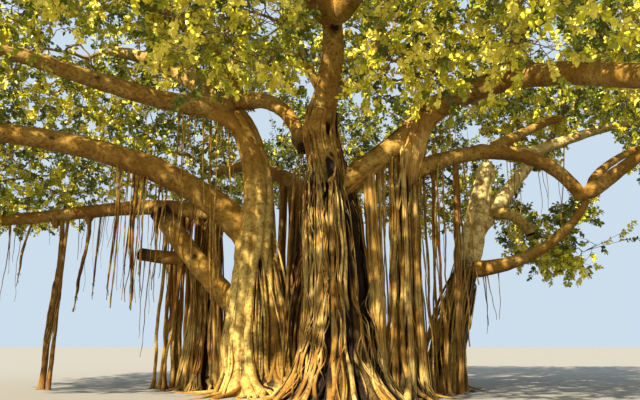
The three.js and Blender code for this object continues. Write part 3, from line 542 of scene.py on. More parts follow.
def interpolate(table, s):
    """The rows of a table at shares s, straight between one row and the next."""
    where = np.linspace(0, 1, len(table))
    return np.stack([np.interp(s, where, column) for column in table.T], -1)


def frames(lines, aside=None):
    """Side and other side of lines (n, k, 3): a fixed direction made square to the line, and the cross
    product of line and side. Without a direction it is the one along which the line runs least."""
    tangent = unit(np.gradient(lines, axis=1))
    if aside is None:
        aside = np.linalg.eigh(np.einsum("nki,nkj->nij", tangent, tangent))[1][:, None, :, 0]
    side = unit(aside - tangent * (tangent * aside).sum(-1, keepdims=True))
    return side, np.cross(tangent, side)


class Stem:
    """A line with its frame. Below share 0 it runs straight down."""

    def __init__(self, line, aside=None):
        self.line = line
        self.length = np.linalg.norm(np.diff(line, axis=0), axis=1).sum()
        side, other = frames(line[None], aside)
        self.side, self.other = side[0], other[0]

    def centre(self, s):
        """The points of the line at shares s."""
        return interpolate(self.line, np.clip(s, 0, 1)) + (np.minimum(s, 0) * self.length)[..., None] * UP

    def outward(self, s, turn):
        """cos a side + sin a other, for the angle a of the turn."""
        angle = 2 * np.pi * np.asarray(turn)[..., None]
        s = np.clip(s, 0, 1)
        return unit(np.cos(angle) * interpolate(self.side, s) + np.sin(angle) * interpolate(self.other, s))

    def places(self, s, turn, radius):
        """The points at a radius from the centre."""
        return self.centre(s) + self.outward(s, turn) * radius[..., None]


class Trunk(Stem):
    """A trunk's line, with +X as the first direction round it, and its radii."""

    def __init__(self, row):
        self.name, start, length, heading, climb, self.radii, self.flare, lobes = row
        self.lobes, self.depth, turn_by, self.toe = lobes
        super().__init__(grown_line(np.array([*start, 0.0]), length, heading, climb), ASIDE)
        self.twist = turn_by / 360 * TWIST_SHARE
        self.clefts = CLEFTS.get(self.name, [])
        random = random_stream(SEED + round(length * 1000))
        thickness = np.array([[next(random) for _ in range(4)] for _ in range(self.lobes)])[:, 2] * 0.8 + 0.6
        self.thickness = np.concatenate([thickness[-1:], thickness, thickness[:1]])

    def even_radius(self, s, turn):
        """Radii along the trunk less 0.4 depth, plus the flare, plus the lobes, which are 1 - |2 x - 1|
        to the power 2.5 across each lobe, and their toes at the ground."""
        foot = spread(self.centre(s)[..., 2])
        at = (turn - self.twist * s) % 1.0 * self.lobes
        lobe = 1 - np.abs(2 * (at % 1.0) - 1) ** 2.5
        thick = np.interp(at - 0.5, np.arange(-1, self.lobes + 1), self.thickness)
        shares = np.linspace(0, 1, len(self.radii))
        own = np.interp(s, shares, self.radii) - 0.4 * self.depth + self.flare * foot
        toes = self.toe * thick * foot * (0.25 + 0.75 * lobe)
        return own + self.depth * thick * lobe * (1 - 0.5 * s) + toes

    def radius_at(self, s, turn):
        """The even radii less the clefts, which are bells across and end smoothly above and below. A cleft
        of a depth below 0 stands out."""
        height = self.centre(s)[..., 2]
        radius = self.even_radius(s, turn)
        for at, width, bottom, top, deep in self.clefts:
            ends = smooth(height, bottom - 0.5, bottom + 0.4) * smooth(height, top + 0.3, top - 0.5)
            radius = radius - deep * bell(off_turn(turn, at), width) * ends
        return radius


class Limb(Stem):
    """A limb's line and its radius. It starts at a place or at the tip of another limb."""

    def __init__(self, row, limbs):
        self.name, start, length, heading, climb, self.radii = row
        start = limbs[start].line[-1] if isinstance(start, str) else np.array(start)
        super().__init__(grown_line(start, length, heading, climb))

    def radius_at(self, s):
        """Straight from the first radius to the last, with a collar that fades as e to the power -s."""
        first, last = self.radii
        return (first + (last - first) * s) * (1 + COLLAR * np.exp(-s * self.length / COLLAR_LENGTH))

    def sink_knots(self, points, radius, tone):
        """Hollows and burrs: bells round a place, taken from the radius and, where they are hollow, from the
        shade tone as painted shade in the hollow."""
        for share, way, width, depth in rows_of(KNOTS, self.name):
            at = self.centre(np.array(share)) + unit(np.array(way)) * self.radius_at(share)
            near = bell(np.linalg.norm(points - at, axis=-1), width)
            radius = radius - depth * near
            tone = tone - max(depth, 0) * KNOT_DARKNESS * near
        return radius, tone


# Part of a mesh: points, lists of faces as rows of corners, tone and tint of each point, and the number of
# its paint.
Part = namedtuple("Part", "points faces tone tint paint")


def ringed(points, tone, tint):
    """Closed tubes from points (tubes, rings, sides, 3): four corners between neighbouring rings, and a cap
    at each end."""
    shape = points.shape[:3]
    index = np.arange(np.prod(shape)).reshape(shape)
    ahead = np.roll(index, -1, axis=2)
    walls = np.stack([index[:, :-1], ahead[:, :-1], ahead[:, 1:], index[:, 1:]], -1)
    faces = [walls.reshape(-1, 4), index[:, 0, ::-1], index[:, -1]]
    return Part(points, faces, np.broadcast_to(tone, shape), np.broadcast_to(tint, shape), 0)


def tubes(lines, radius, sides, tone=0.7, tint=0.5, facing=None):
    """Rings round lines (n, k, 3): line + radius (cos a side + sin a other). With a facing direction the
    shade tone fades to 0 where a tube is turned away from it, which paints shade on the sides of roots that
    face their trunk."""
    side, other = frames(lines)
    angle = (2 * np.pi * np.arange(sides) / sides)[:, None]
    spokes = np.cos(angle) * side[:, :, None] + np.sin(angle) * other[:, :, None]
    points = lines[:, :, None] + spokes * np.broadcast_to(radius, lines.shape[:2])[..., None, None]
    # Painted shade on the side of a tube turned away from the facing direction.
    if facing is not None:
        tone = tone * smooth((spokes * facing[:, :, None]).sum(-1), -0.35, 0.8)
    return ringed(points, tone, np.reshape(tint, (-1, 1, 1)))


def stem_surface(stem, s, turn, radius, tone, tint):
    """Rings round one stem: centre(s) + radius (cos a side + sin a other)."""
    return ringed(stem.places(s, turn, radius)[None], tone, tint)


def add_object(name, data):
    """An object in the scene, at the origin."""
    thing = bpy.data.objects.new(name, data)
    bpy.context.collection.objects.link(thing)
    return thing


def build(name, parts, paints, nodes):
    """One smooth mesh from parts. Points under the ground are lifted to it: every foot is cut flat."""
    points = np.concatenate([part.points.reshape(-1, 3) for part in parts])
    points[:, 2] = np.maximum(points[:, 2], 0.0)
    first = np.cumsum([0] + [part.points.size // 3 for part in parts])
    corners, sizes, paint = [], [], []
    for part, offset in zip(parts, first):
        for faces in part.faces:
            corners.append((faces + offset).ravel())
            sizes.append(np.full(len(faces), faces.shape[1]))
            paint.append(np.full(len(faces), part.paint))
    corners, sizes, paint = (np.concatenate(lists) for lists in (corners, sizes, paint))
    mesh = bpy.data.meshes.new(name)
    mesh.vertices.add(len(points))
    mesh.vertices.foreach_set("co", points.ravel())
    mesh.loops.add(len(corners))
    mesh.loops.foreach_set("vertex_index", corners)
    mesh.polygons.add(len(sizes))
    mesh.polygons.foreach_set("loop_start", np.concatenate([[0], np.cumsum(sizes)[:-1]]))
    mesh.update(calc_edges=True)
    mesh.polygons.foreach_set("use_smooth", np.ones(len(sizes), bool))
    mesh.polygons.foreach_set("material_index", paint)
    if len(paints) == 1:
        for label in ("tone", "tint"):
            values = np.concatenate([np.ravel(getattr(part, label)) for part in parts])
            mesh.attributes.new(label, "FLOAT", "POINT").data.foreach_set("value", values)
    for material in paints:
        mesh.materials.append(material)
    piece = add_object(name, mesh)
    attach(piece, "root")
    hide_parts(*nodes)


class Field:
    """A socket that Python's operators work on: each adds a Math node to its material."""

    def __init__(self, paint, socket):
        self.paint, self.socket = paint, socket

    def math(self, operation, *values):
        return self.paint.node("ShaderNodeMath", {"operation": operation}, dict(enumerate(values)))

    def __add__(self, other):
        return self.math("ADD", self, other)

    def __sub__(self, other):
        return self.math("SUBTRACT", self, other)

    def __rsub__(self, other):
        return self.math("SUBTRACT", other, self)

    def __mul__(self, other):
        return self.math("MULTIPLY", self, other)

    def ramp(self, low, high):
        """0 below low, 1 above high and smooth between them."""
        values = {"Value": self, "From Min": low, "From Max": high}
        return self.paint.node("ShaderNodeMapRange", {"interpolation_type": "SMOOTHSTEP"}, values)

    __radd__ = __add__
    __rmul__ = __mul__


class Paint:
    """A material of one shader, and the nodes that feed it."""

    def __init__(self, name, **constants):
        self.material = bpy.data.materials.new(name)
        self.material.use_nodes = True
        self.tree = self.material.node_tree
        self.shader = self.tree.nodes["Principled BSDF"]
        for label, value in constants.items():
            self.shader.inputs[label.replace("_", " ")].default_value = value

    def node(self, kind, settings, values, out=0):
        """Adds a node of one kind: its settings first, then the values or links of its sockets."""
        node = self.tree.nodes.new(kind)
        for label, value in settings.items():
            setattr(node, label, value)
        for label, value in values.items():
            if isinstance(value, Field):
                self.tree.links.new(value.socket, node.inputs[label])
            else:
                node.inputs[label].default_value = value
        return Field(self, node.outputs[out])

    def feed(self, label, field):
        self.tree.links.new(field.socket, self.shader.inputs[label])

    def attribute(self, name):
        return self.node("ShaderNodeAttribute", {"attribute_name": name}, {}, "Fac")

    def noise(self, stretch, scale, detail, rough=0.55):
        """Noise on object coordinates, which are scaled along each axis first."""
        places = self.node("ShaderNodeTexCoord", {}, {}, "Object")
        places = self.node("ShaderNodeMapping", {}, {"Vector": places, "Scale": stretch})
        values = {"Vector": places, "Scale": scale, "Detail": detail, "Roughness": rough}
        return self.node("ShaderNodeTexNoise", {}, values)

    def mix(self, factor, a, b):
        """Colour a where the factor is 0 and b where it is 1."""
        return self.node("ShaderNodeMix", {"data_type": "RGBA"}, {0: factor, 6: a, 7: b}, 2)


def shaded(colour, factors):
    """The colour with its parts multiplied, each up to 1."""
    return tuple(min(1.0, part * factor) for part, factor in zip(colour, factors)) + (1.0,)


def bark(name, painted_shade_colour, middle, pale, stretch, relief, mottle_and_shade):
    """Bark: its painted shade colour where the shade tone is low, which paints shade into crevices, clefts,
    hollows and undersides;
    browner or paler by the tint; pale in broad patches of painted sunlight; browner in spots that are partly
    the bark's own mottle and partly painted dappled shade; with grain and fine specks. The numbers after ramp
    are the value where an effect starts and where it is full."""
    paint = Paint(name, Roughness=0.88, Specular_IOR_Level=0.25)
    tone, tint = paint.attribute("tone"), paint.attribute("tint")
    # Painted light: broad pale patches that stand for spots of sunlight falling through the crown.
    painted_sun_patches = paint.noise(EVEN, 0.85, 3.0).ramp(0.4, 0.66)
    grain = paint.noise(stretch, 13.0, 6.0, 0.65)
    specks = paint.noise(stretch, 42.0, 3.0, 0.6)
    # Brown spots: partly the bark's own mottle and partly painted dappled shade of the leaves.
    spots_and_dappled_shade = paint.noise(EVEN, 2.7, 5.0, 0.65).ramp(0.5, 0.6)
    brown, chalk = shaded(middle, BROWNER), shaded(pale, CHALKIER)
    body = paint.mix(tint.ramp(0.0, 0.5), brown, middle)
    body = paint.mix(painted_sun_patches * 0.45 + tint.ramp(0.45, 1.0) * 0.55, body, pale)
    body = paint.mix(tint.ramp(1.0, 2.0) * 0.85, body, chalk)
    body = paint.mix((1 - grain.ramp(0.34, 0.52)) * 0.8, body, brown)
    body = paint.mix(spots_and_dappled_shade * mottle_and_shade, body, brown)
    body = paint.mix(specks.ramp(0.6, 0.7) * 0.35, body, pale)
    # Painted shade: the bark takes its painted shade colour where the shade tone, roughened by the grain, is
    # low.
    paint.feed("Base Color", paint.mix((tone + grain * 0.5 - 0.25).ramp(0.05, 0.8), painted_shade_colour, body))
    values = {"Strength": 0.75, "Distance": relief, "Height": grain * 0.75 + specks * 0.25}
    paint.feed("Normal", paint.node("ShaderNodeBump", {}, values, "Normal"))
    return paint.material


BARK_PAINTS = {name: bark(name, *row) for name, row in BARKS.items()}
TWIG_PAINT = Paint("twig bark", Base_Color=TWIG_COLOUR, Roughness=0.8).material
LEAF_PAINTS = [Paint(name, Base_Color=tint, Roughness=0.34).material for name, tint in LEAF_TINTS.items()]


def clinging_roots(rng, stem, radius_at, count, thin, thick, low_end, high_end, wander, lift=0.0, twist=0.06,
                   ridges=None, grounded=0.72, samples=42, hue=0.0, clefts=()):
    """Roots round a stem. Each keeps near its own turn, most of them near a ridge, and wanders by two sines
    of the way along it. It lies partly sunk in the surface radius_at(share, turn) and dives under it at its
    upper end, and at its lower end if that isn't in the ground. Most roots part at a deep cleft: x, which
    is how far a root runs beside it, becomes half the sum of x and the square root of x squared plus
    (2.4 width) squared. The shade tone fades where a root lies deeper than the surface beside it, which
    paints shade into the clefts."""
    u = np.linspace(0, 1, samples)
    rows = (count, 1)

    # Where each starts and ends, and its turn
    high = rng.uniform(low_end, high_end, rows)
    in_ground = rng.random(rows) < grounded
    low = np.where(in_ground, BELOW_GROUND / stem.length, rng.uniform(0.05, 0.6, rows) * high)
    s = low + (high - low) * u
    way = s * stem.length
    even = (np.arange(count)[:, None] + rng.random(rows)) / count
    if ridges is not None:
        near = (rng.integers(ridges, size=rows) + 0.5 + rng.normal(0, 0.17, rows)) / ridges
        even = np.where(rng.random(rows) < 0.7, near, even)
    turn = even + twist * s
    turn += wander * bends(rng, way, (1.0, 3.5, 8.0), (0.45, 1.2, 2.6))
    height = stem.centre(s)[..., 2]
    gives_way = rng.random(rows) < 0.9
    for at, width, bottom, top, deep in clefts:
        if deep > PARTING_DEPTH:
            off = off_turn(turn, at)
            side = np.where(off.mean(1, keepdims=True) < 0, -1.0, 1.0)
            inside = smooth(height, bottom - 0.4, bottom + 0.6) * smooth(height, top + 0.3, top - 0.3)
            parted = side * 0.5 * (off * side + np.sqrt(off ** 2 + (2.4 * width) ** 2))
            turn += inside * (parted - off) * (np.abs(off) < 0.2) * gives_way

    # How thick it is, thinner towards its ends, and how deep its middle lies
    size = rng.uniform(thin, thick, rows) * (1 + bends(rng, way, (0.14, 0.7, 1.9)))
    size *= (1 + 0.5 * spread(height)) * (1 - 0.3 * u) * (1 - 0.55 * smooth(u, 0.72, 1.0))
    size *= 1 - 0.8 * ~in_ground * smooth(u, 0.2, 0.0)
    sink = rng.uniform(-0.5, 0.6, rows) * size - lift
    sink += (3.0 * size + 0.05 + max(lift, 0)) * (smooth(u, 0.88, 1.0) + ~in_ground * smooth(u, 0.12, 0.0))
    outward = stem.outward(s, turn)
    radius = radius_at(s, turn)
    lines = stem.centre(s) + outward * (radius - sink)[..., None]

    # Its shade tone: random, with painted shade where it lies deeper than the surface beside it
    beside = np.maximum(radius_at(s, turn + 0.05), radius_at(s, turn - 0.05))
    tone = rng.uniform(0.7, 1.0, rows) * (0.75 + 0.25 * smooth(bends(rng, way, (1.0, 1.5, 4.0)), -0.6, 0.4))
    tone = (tone * (1 - 0.9 * smooth(beside - radius, 0.08, 0.28)))[..., None]
    return tubes(lines, size, 8 if thick > 0.05 else 6, tone, rng.beta(0.9, 1.1, count) + hue, outward)


def ground_roots(rng, trunk, count, near, far, first, last):
    """Roots that leave the foot of a trunk and sink into the ground as they run out, bent by two sines."""
    u = np.linspace(0, 1, 24)
    turn = first + (last - first) * (np.arange(count)[:, None] + rng.random((count, 1))) / count
    reach = rng.uniform(near, far, (count, 1)) * u
    turn = turn + bends(rng, reach, (0.03, 1.0, 2.5), (0.015, 0.4, 0.9)) * u
    out = trunk.even_radius(0 * turn, turn) * 0.55 + reach * 1.25
    lines = trunk.centre(0 * turn) + trunk.outward(0 * turn, turn) * LEVEL * out[..., None]
    size = rng.uniform(0.035, 0.095, (count, 1)) * (1 - 0.8 * u)
    lines[..., 2] = 0.32 * np.exp(-reach / 0.3) + 0.35 * size - 0.05 * u ** 2
    return tubes(lines, size, 8, 0.75, rng.random(count) * 0.8)


def trunk_core(trunk):
    """A trunk's surface with slow lumps, closed at both ends. Where roots cover it, it lies behind them and
    is painted dark as their shade, and darker still in its valleys and clefts, where painted shade also
    falls."""
    rings = np.linspace(0, 1, TRUNK_RINGS) ** 1.25 * trunk.length
    s, turn = grid(np.concatenate([TRUNK_START, rings]) / trunk.length, TRUNK_SIDES)
    height = trunk.centre(s)[..., 2]
    even, radius = trunk.even_radius(s, turn), trunk.radius_at(s, turn)
    ridged = smooth(even - even.mean(1, keepdims=True), -0.05, 0.1)
    sunk = smooth(even - radius, 0.02, 0.2)
    lowest = BARE_ABOVE.get(trunk.name, COVERED)
    bare = smooth(height, lowest, lowest + 1.2)
    # Painted shade: dark where roots cover the core, lighter on its ridges and darker in its clefts.
    tone = ((0.06 + 0.2 * ridged) * (1 - bare) + 0.85 * bare) * (1 - 0.9 * sunk)
    lumps = sum(sine(f * s * trunk.length + m * turn + p) for f, m, p in TRUNK_LUMPS)
    radius = radius * (1 + 0.012 * lumps) - ROOT_BED * (1 - bare)
    closed = smooth(s, CLOSED_ABOVE.get(trunk.name, CLOSED_ABOVE_ELSE), 1.0)
    radius *= np.sqrt(1 - closed ** 2 * 0.99)
    radius[:2] *= START_RINGS
    pale = PALENESS.get(trunk.name, PLAIN)
    for low, high, upper in PALENESS_ABOVE.get(trunk.name, []):
        pale = pale + (upper - pale) * smooth(height, low, high)
    return stem_surface(trunk, s, turn, radius, tone, pale)


def mouth_part(trunk, turn, height, half_turn, half_height):
    """The mouth of a hollow, painted dark as its shade: rings of a ragged ellipse on a trunk's surface, with
    a raised rim.
    """
    size, lift, tone = (np.array(column)[:, None] for column in zip(*MOUTH_RINGS))
    angle = 2 * np.pi * np.arange(28)[None] / 28
    ragged = 1 + 0.08 * np.sin(3 * angle + 1.0) + 0.06 * np.sin(5 * angle)
    turns = turn + half_turn * size * ragged * np.cos(angle)
    s = (height + half_height * size * ragged * np.sin(angle)) / trunk.length
    return stem_surface(trunk, s, turns, trunk.radius_at(s, turns) + lift, tone, 0.4)


def pillar_parts(rng, foot, top, radius, pale, ends):
    """A pillar: a straight stem, bowed a little, of radius r (1 + 0.9 e to the power -6 s) with folds, and
    roots whose upper ends lie in a range of shares."""
    s = np.linspace(0, 1, 60)
    foot, top = np.array([*foot, 0.0]), np.array(top)
    line = foot + (top - foot) * s[:, None]
    line[:, :2] += 0.06 * np.sin(np.pi * s)[:, None] * rng.normal(size=2)
    stem = Stem(line, ASIDE)

    def radius_at(s, turn):
        folds = 0.16 * sine(5 * turn + 0.6 * s) + 0.08 * sine(9 * turn - 1.7 * s)
        return radius * (1 + 0.9 * np.exp(-6 * np.maximum(s, 0))) * (0.92 + folds * 0.6)

    s, turn = grid(np.concatenate([[-0.06, -0.06, -0.05], s]), 36)
    around = radius_at(s, turn)
    around[:2] *= START_RINGS
    # Painted shade: darker in the folds between the pillar's ridges.
    tone = 0.35 + 0.55 * smooth(around / around.mean(1, keepdims=True), 0.9, 1.08)
    roots = clinging_roots(rng, stem, radius_at, round(6 + 22 * radius), 0.1 * radius, 0.32 * radius, *ends,
                           0.05, samples=30)
    # The paleness scales the shade tone too: a low paleness paints the pillar darker as shade.
    return [stem_surface(stem, s, turn, around, tone * (0.5 + pale), pale), roots]


def standing_roots(rng, trunk, xs, ys, low, high, count, hue):
    """Thin roots that stand on the ground and bend in to the trunk, mostly as the cube of the way up, each
    bent by two sines."""
    u = np.linspace(0, 1, 26)
    feet = np.stack([rng.uniform(*xs, count), rng.uniform(*ys, count)], -1)
    height = rng.uniform(low, high, count)
    axis = trunk.centre(height / trunk.length)[:, :2]
    tops = axis + unit(feet - axis) * 0.34 + rng.normal(0, 0.05, (count, 2))
    lines = np.empty((count, len(u), 3))
    lines[..., :2] = feet[:, None] + (tops - feet)[:, None] * (0.3 * u + 0.7 * u ** 3)[:, None]
    lines[..., 2] = -0.2 + (height[:, None] + 0.2) * u
    for axis in (0, 1):
        lines[..., axis] += bends(rng, lines[..., 2], (0.05, 2.0, 5.0), (0.015, 0.7, 1.5)) * (1 - u)
    radius = rng.uniform(0.018, 0.06, (count, 1)) * (1 - 0.45 * u)
    radius = radius * (1 + 0.9 * np.exp(-lines[..., 2] / 0.25))
    return tubes(lines, radius, 6, rng.uniform(0.3, 0.8, (count, 1, 1)), rng.random(count) * 0.8 + hue)


def trunk_parts(trunk, index):
    """A trunk with the roots that cling to it, the mouth of its hollow, the roots that run out from its
    foot, its pillars, and the thin roots that stand round it."""
    rng = np.random.default_rng(SEED + index)
    name, hue = trunk.name, ROOT_TINT.get(trunk.name, 0.0)
    parts = [trunk_core(trunk)]
    for *sizes, high_end, wander, lift in CLINGING[name]:
        samples = LONG_SAMPLES if high_end > 0.5 else SHORT_SAMPLES
        parts.append(clinging_roots(rng, trunk, trunk.radius_at, *sizes, high_end, wander, lift, trunk.twist,
                                    trunk.lobes, samples=samples, hue=hue, clefts=trunk.clefts))
    parts += [mouth_part(trunk, *row) for row in rows_of(MOUTHS, name)]
    parts += [ground_roots(rng, trunk, *row) for row in rows_of(RUNNERS, name)]
    ends = LOW_ENDS if TRUNK_PAINTS.get(name) == "bough bark" else HIGH_ENDS
    for row in rows_of(PILLARS, name):
        parts += pillar_parts(rng, *row, ends)
    parts += [standing_roots(rng, trunk, *row, hue) for row in rows_of(STANDS, name)]
    return parts


def swelling_parts(rng, limb, arrive, trunk, leave, thick, count, high):
    """A swelling whose line is a cubic from a trunk's axis to a limb's and whose radius passes smoothly
    from the one to the other, and the roots that run up over it and along the limb."""
    u = np.linspace(0, 1, 40)[:, None]
    a, b = trunk.centre(np.array(leave)), limb.centre(np.array(arrive))
    reach = np.linalg.norm(b - a)
    out_a = unit(trunk.centre(np.array(leave + 0.03)) - a) * reach
    out_b = unit(limb.centre(np.array(arrive + 0.03)) - b) * reach
    line = a * (1 + 2 * u) * (1 - u) ** 2 + b * u ** 2 * (3 - 2 * u)
    line = line + out_a * u * (1 - u) ** 2 - out_b * u ** 2 * (1 - u)
    thin = limb.radius_at(arrive) * 0.985
    stem = Stem(line)
    s, turn = grid(np.linspace(0, 1, 34), 48)
    lumps = 0.02 * sine(turn * 3 + s * 0.8) + 0.015 * sine(turn * 7 - s * 1.3)
    radius = (thick + (thin - thick) * smooth(s, 0.0, 1.0)) * (1 + lumps * np.sin(np.pi * s))
    # Painted shade: darker towards the trunk, where the swelling leaves it.
    tone = 0.3 + 0.5 * smooth(s, 0.05, 0.55)
    radius, tone = limb.sink_knots(stem.places(s, turn, radius), radius, tone)
    parts = [stem_surface(stem, s, turn, radius, tone, 0.5)]
    if count:
        whole = Stem(np.vstack([line, limb.centre(np.linspace(arrive, high, 30)[1:])]))
        share = reach / whole.length

        def radius_at(at, turn):
            on = np.clip((at - share) / (1 - share), 0, 1) * (high - arrive) + arrive
            swelling = thick + (thin - thick) * smooth(at / share, 0.0, 1.0)
            return np.where(at < share, swelling, limb.radius_at(on)) + 0 * turn

        parts.append(clinging_roots(rng, whole, radius_at, count, 0.016, 0.055, 0.3, 1.0, 0.03, hue=-0.3))
    return parts


def limb_surface(rng, limb):
    """A round surface with lumps, hollows and burrs, and a closed end, which is hollow where the limb is cut
    and painted near black there as the hollow's shade."""
    rings = int(30 + 7 * limb.length)
    s, turn = grid(np.concatenate([np.linspace(0, 1, rings), [1.0, 1.0, 1.0]]), LIMB_SIDES)
    way = s * limb.length
    radius = limb.radius_at(s) * (0.3 + 0.7 * smooth(way, -0.25, 0.55))
    for size, cycle, turns in LIMB_LUMPS:
        lump = sine(way / (cycle * rng.uniform(0.8, 1.3)) + turns * turn + rng.random())
        radius = radius * (1 + size * lump * sine(way / 3.1 + rng.random()))
    # Painted light and shade: lighter on top of a limb and darker underneath.
    tone = 0.66 + 0.3 * limb.outward(s, turn)[..., 2]
    radius, tone = limb.sink_knots(limb.places(s, turn, radius), radius, tone)
    cut = limb.name in CUT_ENDS
    shares, reaches = CUT_END if cut else GROWN_END
    radius[-3:] *= np.array(shares)[:, None]
    # The hollow end of a cut is painted near black as its shade, and the bark darkens over the last metre
    # before it; a grown end keeps the shade tone of the ring before it.
    tone[-3:] = 0.05 if cut else tone[-4]
    if cut:
        tone[:-3] *= 1 - CUT_ENDS[limb.name] * smooth(way[:-3], limb.length - 1.0, limb.length - 0.1)
    surface = stem_surface(limb, s, turn, radius, tone, PALENESS.get(limb.name, PLAIN))
    reach = np.array(reaches) * (limb.radii[1] / END_RADIUS)
    surface.points[0, -3:] += reach[:, None, None] * unit(limb.line[-1] - limb.line[-2])
    return surface


def hanging_roots(rng, limb, first, last, count, low, high, thick):
    """Thin roots from the underside of a limb straight down to their feet, each bent by two sines. Those
    with feet above the ground grow thin towards them, and the others are thicker at the ground."""
    free = low > 0
    u = np.linspace(0, 1, 22)
    s = rng.uniform(first, last, count)
    top = limb.centre(s) - 0.6 * limb.radius_at(s)[:, None] * UP
    top += rng.normal(0, 0.1, (count, 3)) * LEVEL
    foot = rng.uniform(low, high, count)
    lines = np.repeat(top[:, None], len(u), axis=1)
    lines[..., 2] -= (top[:, 2] - foot)[:, None] * u
    way = lines[..., 2]
    for axis in (0, 1):
        lean = rng.normal(0, 0.12 if free else 0.2, (count, 1)) * u
        lines[..., axis] += lean + u * bends(rng, way, (0.05, 2.0, 4.0), (0.015, 0.6, 1.2))
    radius = rng.uniform(0.35 * thick, thick, (count, 1)) * (1.3 - (0.75 if free else 0.3) * u)
    radius += 0.012 * np.exp(-u * 12) + (0.0 if free else thick) * np.exp(-np.maximum(way, 0) / 0.2)
    tone = rng.uniform(0.5, 0.85, (count, 1, 1))
    tint = rng.random(count) * min(1.0, 2 * PALENESS.get(limb.name, PLAIN))
    return tubes(lines, radius, 5 if thick < 0.03 else 7, tone, tint)


def lone_root(rng, top, middle, foot, thick):
    """One root through three places, bent by two sines and thicker at the ground."""
    u = np.linspace(0, 1, 24)[:, None]
    line = np.stack([through_three(row, u[:, 0]) for row in zip(top, middle, foot)], -1)
    line[:, :2] += 0.015 * np.sin(u * (top[2] - foot[2]) * np.array([2.2, 3.1]))
    radius = thick * (1.15 - 0.35 * u[:, 0]) * (1 + 1.2 * np.exp(-np.maximum(line[:, 2], 0) / 0.2))
    return tubes(line[None], radius, 7, 0.8, rng.random(1))


def limb_parts(limb, index, trunks):
    """A limb with the swellings where it leaves a trunk and the roots that hang from it."""
    rng = np.random.default_rng(SEED * 7 + index)
    parts = [limb_surface(rng, limb)]
    for arrive, trunk, *rest in rows_of(SWELLINGS, limb.name):
        parts += swelling_parts(rng, limb, arrive, trunks[trunk], *rest)
    parts += [hanging_roots(rng, limb, *row) for row in rows_of(CURTAINS, limb.name)]
    parts += [lone_root(rng, *row) for row in rows_of(LONE_ROOTS, limb.name)]
    return parts


def root_parts(row, limbs):
    """Root stems that part below a collar: from head to foot, pushed aside by a sine, each a bundle of
    one thick stem and thinner roots that wind round it."""
    limb, share, collar, feet = row[1:]
    rng = np.random.default_rng(SEED * 13 + len(feet))
    head = limbs[limb].centre(np.array(share))
    along = limbs[limb].centre(np.linspace(max(share - 0.12, 0), share + 0.12, 60))
    parts = []
    s = np.linspace(0, 1, 50)
    for i, (foot, radius) in enumerate(feet):
        own = along[np.linalg.norm(along[:, :2] - np.array(foot)[:2], axis=1).argmin()]
        start = head + (own - head) * 0.8
        aside = direction(90 * i + 40, 0) * (0.05 + collar * 0.25)
        bulge = (np.sin(np.pi * np.minimum(1, s * 1.4)) + 0.25 * np.sin(9 * s + i))[:, None] * aside
        stem = Stem(start + (np.array(foot) - start) * s[:, None] + bulge, ASIDE)
        standing = foot[2] < 0
        swell = 1 + 1.2 * np.exp(-(1 - s) * 12) if standing else 1 - 0.75 * s

        def radius_at(share, turn, swell=swell, radius=radius):
            folds = 1 + 0.15 * sine(3 * turn + 2 * share)
            return radius * 0.75 * np.interp(share, s, swell) * folds

        shares, turn = grid(s, 12)
        parts.append(stem_surface(stem, shares, turn, radius_at(shares, turn), 0.6, 0.4))
        thin, thick = 0.15 * radius + 0.006, 0.3 * radius + 0.01
        parts.append(clinging_roots(rng, stem, radius_at, round(5 + 40 * radius), thin, thick, 0.75, 1.0, 0.1,
                                    twist=0.4, grounded=0.0, samples=30))
    knot = Stem(np.linspace(head, head - UP * collar * 2.2, 12), ASIDE)
    shares, turn = grid(np.linspace(0, 1, 12), 20)
    lumps = 1 + 0.14 * sine(4 * turn + shares)
    parts.append(stem_surface(knot, shares, turn, collar * (1 - 0.75 * shares ** 1.5) * lumps, 0.55, 0.5))
    return parts


def leaves_view(rng, places, shown):
    """False for most places that hide a shown limb, which are nearer to the eye than the limb and a small
    way off the line of sight to it, and for those in a gap. That way is the angle between the two lines
    times the place's own distance."""
    ray = places - EYE
    reach = np.linalg.norm(ray, axis=1, keepdims=True)
    good = np.ones(len(places), bool)
    for points, clearance, share in shown:
        line = points - EYE
        far = np.linalg.norm(line, axis=1)
        off = np.linalg.norm((ray / reach)[:, None] - line / far[:, None], axis=2) * reach
        hides = ((off < clearance) & (reach < far)).any(1)
        good &= ~hides | (rng.random(len(places)) < share)
    for heading, climb, width in SKY_GAPS:
        off = np.linalg.norm(ray / reach - direction(heading, climb), axis=1)
        good &= (off - radians(width)) * reach[:, 0] > GAP_MARGIN
    return good


def distance_out(places, centre, half):
    """How far places lie out from a centre, as a share of the half size: 1 on the mass's rounded box."""
    return (np.abs((places - centre) / half) ** 2.5).sum(-1) ** (1 / 2.5)


def mass_walls(centre, half, others):
    """The walls between a mass and its neighbours, as directions and distances from its centre: each is
    square to the way to the other centre and shares that way out by the two half sizes."""
    way = np.array([other[0] for other in others]) - centre
    length = np.linalg.norm(way, axis=1)
    normals = way / length[:, None]
    own = np.linalg.norm(half * normals, axis=1)
    theirs = np.linalg.norm(np.array([other[1] for other in others]) * normals, axis=1)
    return normals, length * own / (own + theirs) - SPACE_MARGIN


def scattered(rng, pool, count, tries=10):
    """Places from a pool, spread evenly: of several tries, each is the farthest from those before it."""
    chosen = np.empty((count, 3))
    chosen[0] = pool[0]
    for i in range(1, count):
        some = pool[rng.integers(len(pool), size=tries)]
        gaps = np.linalg.norm(some[:, None] - chosen[None, :i], axis=-1).min(1)
        chosen[i] = some[gaps.argmax()]
    return chosen


